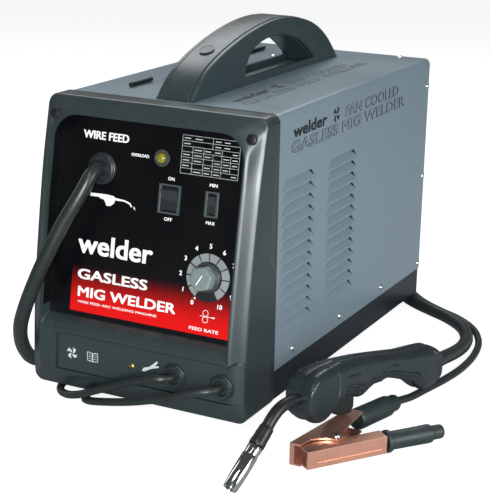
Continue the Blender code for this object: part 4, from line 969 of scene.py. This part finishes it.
def makeControls():
    outline = frameOutline(105.1, 88.5, 289.5, 24.5, 2.5)
    front = -26.6 - panelSlope * (274.0 - outline[:, 1])
    sheet = [np.stack([outline[:, 0], front + back, outline[:, 1]], 1) for back in (0, 2.5)]
    count = len(outline)
    panel = addPiece("controlPanel", np.vstack(sheet), gridFaces(2, count, False, True)
                     + [list(range(count)), list(range(count, 2 * count))], "panelPrint", replaces=("control_panel",))
    # a window behind each switch, square to the leaning panel
    square = np.array([(1, 0, 0), np.negative(panelNormal), panelUp])
    for x, z, width, height in switches:
        window, sides = prism(rect(-width / 2 + 1.2, -height / 2 + 1.2, width / 2 - 1.2, height / 2 - 1.2), -9, 9)
        cutWith(panel, onPanel(x, z) + np.array(window) @ square, sides)
    x, z = dial["at"]
    base = onPanel(x, z)
    plate = [(23.5, 0.3), (23.5, 0.55), (23.2, 0.7), (4, 0.7)]
    addPiece("dialPlate", *turnedShape(plate, base, panelNormal, 72), "blackPlastic", replaces=("dial_plate",))
    wedges = []
    for k in range(10):
        first = dial["first"] - dial["step"] * k
        wedges.append(shapeMesh(ringSector(dial["ringIn"], dial["ringOut"], first - dial["step"] + 1.8, first - 1.8),
                                "panel", x, z, 0.35, 0.65))
    printed("dialRing", wedges, "silverDial")
    a = math.radians(dial["first"])
    pointer = [(23.6 * math.cos(a), 23.6 * math.sin(a)), (26.2 * math.cos(a + 0.055), 26.2 * math.sin(a + 0.055)),
               (26.2 * math.cos(a - 0.055), 26.2 * math.sin(a - 0.055))]
    printed("dialPointer", [shapeMesh(pointer, "panel", x, z)], "printWhite")
    r = dial["skirt"]
    skirt = [(r - 0.2, 1.7), (r, 2.4), (r, 4.2), (r - 0.5, 5.0), (r - 1.3, 5.3), (r - 1.8, 4.8), (r - 2.2, 4.2), (3, 4.2)]
    addPiece("knobSkirt", *turnedShape(skirt, base, panelNormal, 72), "knobRim", "feed_knob")
    c, top = dial["corner"], dial["top"]
    side = [(c, 4.0), (c, top - 2.4), (c - 0.25, top - 1.3), (c - 0.9, top - 0.5), (c - 1.8, top - 0.12),
            (c - 3, top), (c * 0.5, top + 0.02), (0.6, top + 0.02)]
    addPiece("knobGrip", *turnedShape(side, base, panelNormal, 144, lobes=hexLobes), "knobGrey", "feed_knob", 28,
             replaces=("feed_knob",))
    line = np.array([(-4.5, -0.5), (7.0, -0.5), (7.0, 0.5), (-4.5, 0.5)])
    turned = np.stack([line[:, 0] * math.cos(a) - line[:, 1] * math.sin(a),
                       line[:, 0] * math.sin(a) + line[:, 1] * math.cos(a)], 1)
    printed("knobLine", [shapeMesh(turned, "panel", x, z, 0.12, top)], "printWhite", "feed_knob")
    lamp = onPanel(10.5, 256.4)
    rim = [(8.4, 0.3), (8.4, 1.0), (7.9, 1.5), (6.4, 1.6), (5.9, 1.2), (5.4, 0.9), (3, 0.9)]
    addPiece("lampRim", *turnedShape(rim, lamp, panelNormal, 48), "knobRim")
    lens = [(5.2, 0.8), (5.2, 2.2), (4.9, 3.2), (4.2, 4.2), (3.1, 4.9), (1.6, 5.4), (0.4, 5.5)]
    addPiece("overloadLens", *turnedShape(lens, lamp, panelNormal, 48), "amberLens", replaces=("overload_lamp",))
    for name in ("power", "range"):
        cadCopy(f"{name}_switch_housing", f"{name}Housing", "switchGrey", width=0.55)
        cadCopy(f"{name}_rocker", f"{name}Rocker", "rockerGrey", f"{name}_rocker", 0.5)
    cup = [(15.9, 0.3), (15.9, 1.6), (15.5, 2.3), (14.9, 2.6), (14.6, 3.6), (14.0, 4.4), (13.3, 4.7), (12.8, 4.2),
           (12.3, 2.6), (12.2, 2.4), (7.4, 2.4)]
    addPiece("torchGland", *turnedShape(cup, onPanel(-55.8, 238.6), panelNormal, 72), "glandGrey",
             replaces=("torch_gland",))
    for name, x, z in (("earth", 48.2, 52.7), ("mains", 100.6, 51.8)):
        cup = [(12.8, 0.3), (12.8, 2.0), (12.4, 2.9), (11.7, 3.4), (11.4, 5.0), (10.8, 5.8), (9.8, 6.0), (8.2, 6.0),
               (7.5, 5.6), (7.1, 4.6), (6.6, 2.6), (4.0, 2.5)]
        addPiece(f"{name}Gland", *turnedShape(cup, (x, -69.0, z), (0, -1, 0), 56), "glandGrey",
                 replaces=(f"{name}_gland",))


makeControls()
print("controls")

# ---------- torch ----------
torch = {"tip": (164.4, -176.2), "heading": (0.2031, 0.9792), "half": 15.3, "start": 99.0, "stop": 336.0,
         "top": [(99, 60), (100, 69), (101.5, 72), (105, 76.4), (112, 81), (120, 83), (130, 83.6), (155, 83), (191, 78),
                 (229, 70), (268, 61.5), (299, 57.5), (316, 55), (326, 50), (333, 43), (336, 33)],
         "bottom": [(99, 50), (101, 46), (106, 40), (112, 34.8), (119, 32.6), (127, 32), (134, 34), (139, 37.4),
                    (144, 40.6), (152, 43.6), (162, 44.6), (172, 43.6), (180, 40.4), (186, 37.0), (191, 36.4), (195, 37.5),
                    (203, 40.8), (212, 42.6), (222, 41.4), (229, 42.6), (238, 42), (250, 37.6), (262, 33), (283, 24),
                    (296, 14), (303, 9.5), (310, 8.4), (322, 9), (331, 14), (336, 32)]}
neckRoute = [(99, 60), (95.5, 60.6), (90, 61.3), (80, 61.5), (70, 59), (61, 53.5), (54.5, 47.6)]
sleeveTop, nozzleTop, nozzleTip = (51.5, 44.8), (38.5, 34.2), (3.0, 5.7)


def torchPoint(along, height, aside=0.0):
    # a point of the torch's upright plane, set aside from it, in machine millimetres
    (x, y), (dx, dy) = torch["tip"], torch["heading"]
    return np.stack(np.broadcast_arrays(x + along * dx + aside * dy, y + along * dy - aside * dx, height), -1)


def pulse(value, width):
    # one at zero, falling smoothly to nothing at width
    return np.clip(1 - np.abs(value) / width, 0, 1) ** 2 * (3 - 2 * np.clip(1 - np.abs(value) / width, 0, 1))


def gripReach(s, h, mid):
    # how far the shell's skin stands in or out: grip ribs and end collars sink, the nose cap rises
    level = h - (mid + 1.5 - 4.5 * np.clip((s - 180) / 110, 0, 1))
    ribs = sum(pulse(level - k * 3.4, 1.1) for k in range(-4, 2))
    ribs *= np.clip((s - 146) / 14, 0, 1) * np.clip((302 - s) / 16, 0, 1)
    slant = s + 0.18 * (h - 35)
    collars = pulse(slant - 318, 0.9) + pulse(slant - 323, 0.9) + pulse(slant - 329, 0.9)
    edge = 133.5 + 11 * np.sqrt(np.clip(1 - ((h - 66) / 26) ** 2, 0, 1))
    cap = np.clip((edge - s) / 1.2, 0, 1) * np.clip((h - 41) / 3, 0, 1)
    return -1.15 * ribs - 0.8 * np.minimum(collars, 1) + 0.75 * cap


def makeTorch():
    # sections across the grip: a rounded box between the lower and the upper edge
    s = torch["start"] + (torch["stop"] - torch["start"]) * np.linspace(0, 1, 300)
    s = np.unique(np.concatenate([s, np.linspace(99, 106, 16), np.linspace(139.6, 142, 12),
                                  np.linspace(181, 185, 12), np.linspace(328, 336, 18)]))
    topAt, lowAt = (np.interp(s, *np.array(torch[k]).T) for k in ("top", "bottom"))
    kernel = np.array([1, 2, 3, 2, 1]) / 9
    for line in (topAt, lowAt):
        line[2:-2] = np.convolve(line, kernel, "valid")
    ends = 1 - 0.3 * (1 - np.clip((s - 98.6) / 5, 0, 1)) ** 2.4 - 0.45 * (1 - np.clip((336.6 - s) / 9, 0, 1)) ** 2.2
    half = torch["half"] * ends * (1 - 0.14 * np.clip((s - 150) / 40, 0, 1) * np.clip((300 - s) / 60, 0, 1))
    phi = np.linspace(0, math.pi, 57)[None, :]
    mid, tall = ((topAt + lowAt) / 2)[:, None], ((topAt - lowAt) / 2)[:, None]
    power = 2 / (3.3 + 1.8 * np.clip((150 - s) / 30, 0, 1))[:, None]
    h = mid + tall * np.sign(np.cos(phi)) * np.abs(np.cos(phi)) ** power
    wide = np.abs(np.sin(phi)) ** power
    aside = half[:, None] * wide + gripReach(s[:, None], h, mid) * np.clip(wide * 1.6 - 0.5, 0, 1)
    groove = np.clip(1 - aside / 1.0, 0, 1)
    h = h - np.sign(np.cos(phi)) * 0.9 * groove
    # the channel that the trigger swings in
    channel = (np.cos(phi) < 0) & (aside < 8.3) & (s[:, None] > 141) & (s[:, None] < 183)
    h = np.where(channel, 50.0, h)
    for side, shell in ((1, "right"), (-1, "left")):
        points = torchPoint(s[:, None], h, side * (0.15 + np.maximum(aside, 0)))
        cols = points.shape[1]
        faces = gridFaces(len(s), cols, False, True)
        faces += [list(range(cols)), list(range((len(s) - 1) * cols, len(s) * cols))]
        addPiece(f"torchShell{shell.title()}", points.reshape(-1, 3), faces, "torchPlastic", sharp=42,
                 replaces=(f"torch_shell_{shell}",))
    # the pale line that edges the nose cap
    for side, name in ((1, "Right"), (-1, "Left")):
        a = np.linspace(math.radians(-62), math.radians(76), 40)
        cs, ch = 134.0 + 11 * np.cos(a), 66 + 20 * np.sin(a)
        t = np.interp(cs, s, topAt)
        b = np.interp(cs, s, lowAt)
        w = np.interp(cs, s, half)
        m, l = (t + b) / 2, (t - b) / 2
        out = w * (1 - np.clip(np.abs(ch - m) / l, 0, 0.985) ** 3.3) ** (1 / 3.3)
        addPiece(f"torchCapLine{name}", *tubeShape(torchPoint(cs, ch, side * (0.15 + out + 0.25)), 0.45, 10), "switchGrey")
    cadCopy("torch_trigger", "torchTrigger", "blackPlastic", "torch_trigger", 1.6, 4)
    route = smoothRoute([torchPoint(a, h) for a, h in neckRoute], 1.5)
    addPiece("torchNeck", *tubeShape(route, 5.75, 32), "blackPlastic", replaces=("torch_neck",))
    start, end = torchPoint(*sleeveTop), torchPoint(*nozzleTop)
    length = float(np.linalg.norm(end - start))
    collar = [(5.8, -4.2), (6.4, -4.0), (6.8, -3.0), (6.9, 1.6), (7.1, 3.0), (7.1, 9.5), (7.5, 11.4), (7.6, length - 1.4),
              (7.3, length - 0.5), (5.2, length - 0.4)]
    addPiece("nozzleSleeve", *turnedShape(collar, start, end - start, 48), "blackPlastic", replaces=("nozzle_sleeve",))
    tip = torchPoint(*nozzleTip)
    length = float(np.linalg.norm(tip - end))
    shell = [(5.6, 0.3), (6.9, 0.3), (7.15, 0.8), (7.15, 4.6), (6.85, 5.0), (6.85, 9.6), (7.15, 10.0), (7.45, 10.6),
             (7.45, length * 0.7), (7.3, length * 0.78), (6.75, length - 0.6), (6.5, length), (5.7, length),
             (5.5, length - 0.6), (5.4, length - 21), (2, length - 21)]
    addPiece("torchNozzle", *turnedShape(shell, end, tip - end, 64), "chrome", replaces=("torch_nozzle",))
    contact = [(1, length - 22), (2.6, length - 21), (2.6, length - 6), (1.8, length - 4), (0.6, length - 3.6)]
    addPiece("contactTip", *turnedShape(contact, end, tip - end, 24), "copperPlate")


makeTorch()
print("torch")

# ---------- earth clamp ----------
clamp = {"axis": 11.3, "cable": ((206.4, 10.2), (223.2, 70.6)), "free": ((250.6, -24.2), (289.0, 26.5)),
         "rivet": (215.7, -58.0)}


def makeClamp():
    cadCopy("clamp_arm_cable", "clampArmCable", "copperPlate", width=0.9)
    arm = cadCopy("clamp_arm_free", "clampArmFree", "copperPlate", "clamp_free_side", 0.9)
    # the long hollow pressed into the arm's outer wall
    a, b = np.array((206.0, -99.5)), np.array((255.6, -30.0))
    run = (b - a) / np.linalg.norm(b - a)
    out = np.array((run[1], -run[0]))
    hollow = [a + run * d + out * o for d, o in ((11, 1), (80, 1), (80, -0.6), (11, -0.6))]
    applied(arm)
    cutWith(arm, *prism(hollow, 7.6, 15.6, "Z"))
    for side, body in (("cable", "machine"), ("free", "clamp_free_side")):
        (x0, y0), (x1, y1) = clamp[side]
        a, b = np.array((x0, y0, clamp["axis"])), np.array((x1, y1, clamp["axis"]))
        n = float(np.linalg.norm(b - a))
        if side == "cable":
            profile = [(8.0, 7), (8.2, 1.0), (8.7, 0.3), (9.6, 0.1), (10.6, 1.0), (10.9, 3), (10.9, 8), (10.7, n * 0.4),
                       (10.6, n * 0.76), (10.2, n * 0.79), (8.9, n * 0.81), (8.6, n * 0.84), (8.5, n * 0.96),
                       (7.9, n - 0.2), (5.0, n)]
        else:
            profile = [(8.0, 5), (8.4, 0.8), (9.6, 0.2), (10.6, 0.6), (11.0, 1.5), (11.0, 3.8), (10.6, 4.8), (9.2, 5.4),
                       (8.9, 7), (9.0, n * 0.5), (9.2, n * 0.74), (8.9, n * 0.78), (7.4, n * 0.8), (7.0, n * 0.82),
                       (7.0, n * 0.95), (6.6, n * 0.985), (5.6, n), (0.8, n)]
        addPiece(f"clampGrip{side.title()}", *turnedShape(profile, a, b - a, 48), "gripRubber", body, 40,
                 replaces=(f"clamp_grip_{side}",))
    x, y = clamp["rivet"]
    head = [(4.2, 22.8), (4.2, 23.2), (3.8, 23.9), (2.9, 24.4), (1.5, 24.6), (0.3, 24.6)]
    addPiece("clampRivet", *turnedShape(head, (x, y, 0), (0, 0, 1), 32), "brightSteel", replaces=("clamp_rivet",))
    t = np.linspace(0, 5, 120)
    helix = np.stack([x + 5.4 * np.cos(2 * math.pi * t), y + 5.4 * np.sin(2 * math.pi * t), 5.8 + 2.2 * t], 1)
    addPiece("clampSpring", *tubeShape(helix, 0.85, 12), "zincSteel", replaces=("clamp_spring",))


makeClamp()
print("clamp")

# ---------- inside ----------
insides = (
    ("divider_wall", "zincSteel", "machine", 0.3), ("transformer_core", "laminations", "machine", 0.6),
    ("transformer_winding", "copperWire", "machine", 3.0), ("rectifier", "aluminium", "machine", 0.4),
    ("fan_motor", "blackPlastic", "machine", 0.8), ("fan_blades", "blackPlastic", "fan_blades", 0.5),
    ("feeder_plate", "zincSteel", "machine", 0.4), ("feed_motor", "zincSteel", "machine", 0.8),
    ("drive_roller", "brightSteel", "drive_roller", 0.4), ("idler_roller", "brightSteel", "idler_roller", 0.5),
    ("pressure_arm", "blackPlastic", "pressure_arm", 0.8), ("tension_knob", "blackPlastic", "tension_knob", 0.6),
    ("wire_guide", "brass", "machine", 0.4), ("spool_shaft", "blackPlastic", "machine", 0.6),
    ("wire_spool", "blackPlastic", "wire_reel", 0.5))


def makeInside():
    for name, material, body, width in insides:
        words = name.split("_")
        cadCopy(name, words[0] + "".join(w.title() for w in words[1:]), material, body, width)
    # a near-black disc behind the rear grille: painted shade inside the case, seen through the grille
    shadeDiscProfile = [(46.0, 398.5), (46.0, 399.4), (2, 399.4)]
    addPiece("fanGrilleShade", *turnedShape(shadeDiscProfile, (38, 0, 175), (0, 1, 0), 40), "recessBlack")
    # the wound wire: layers of a fine ridge across the reel
    x0, x1, rows = -96.5, -59.5, 150
    x = np.linspace(x0, x1, rows)
    ridge = 41.5 + 0.4 * np.abs(np.sin(np.linspace(0, 37 * math.pi / 1.2, rows)))
    profile = [(22.3, x0)] + list(zip(ridge, x)) + [(22.3, x1)]
    addPiece("wireWinding", *turnedShape(profile, (0, 265, 170), (1, 0, 0), 64, True), "brightSteel", "wire_reel", 60,
             replaces=("wire_winding",))


makeInside()
print("inside")
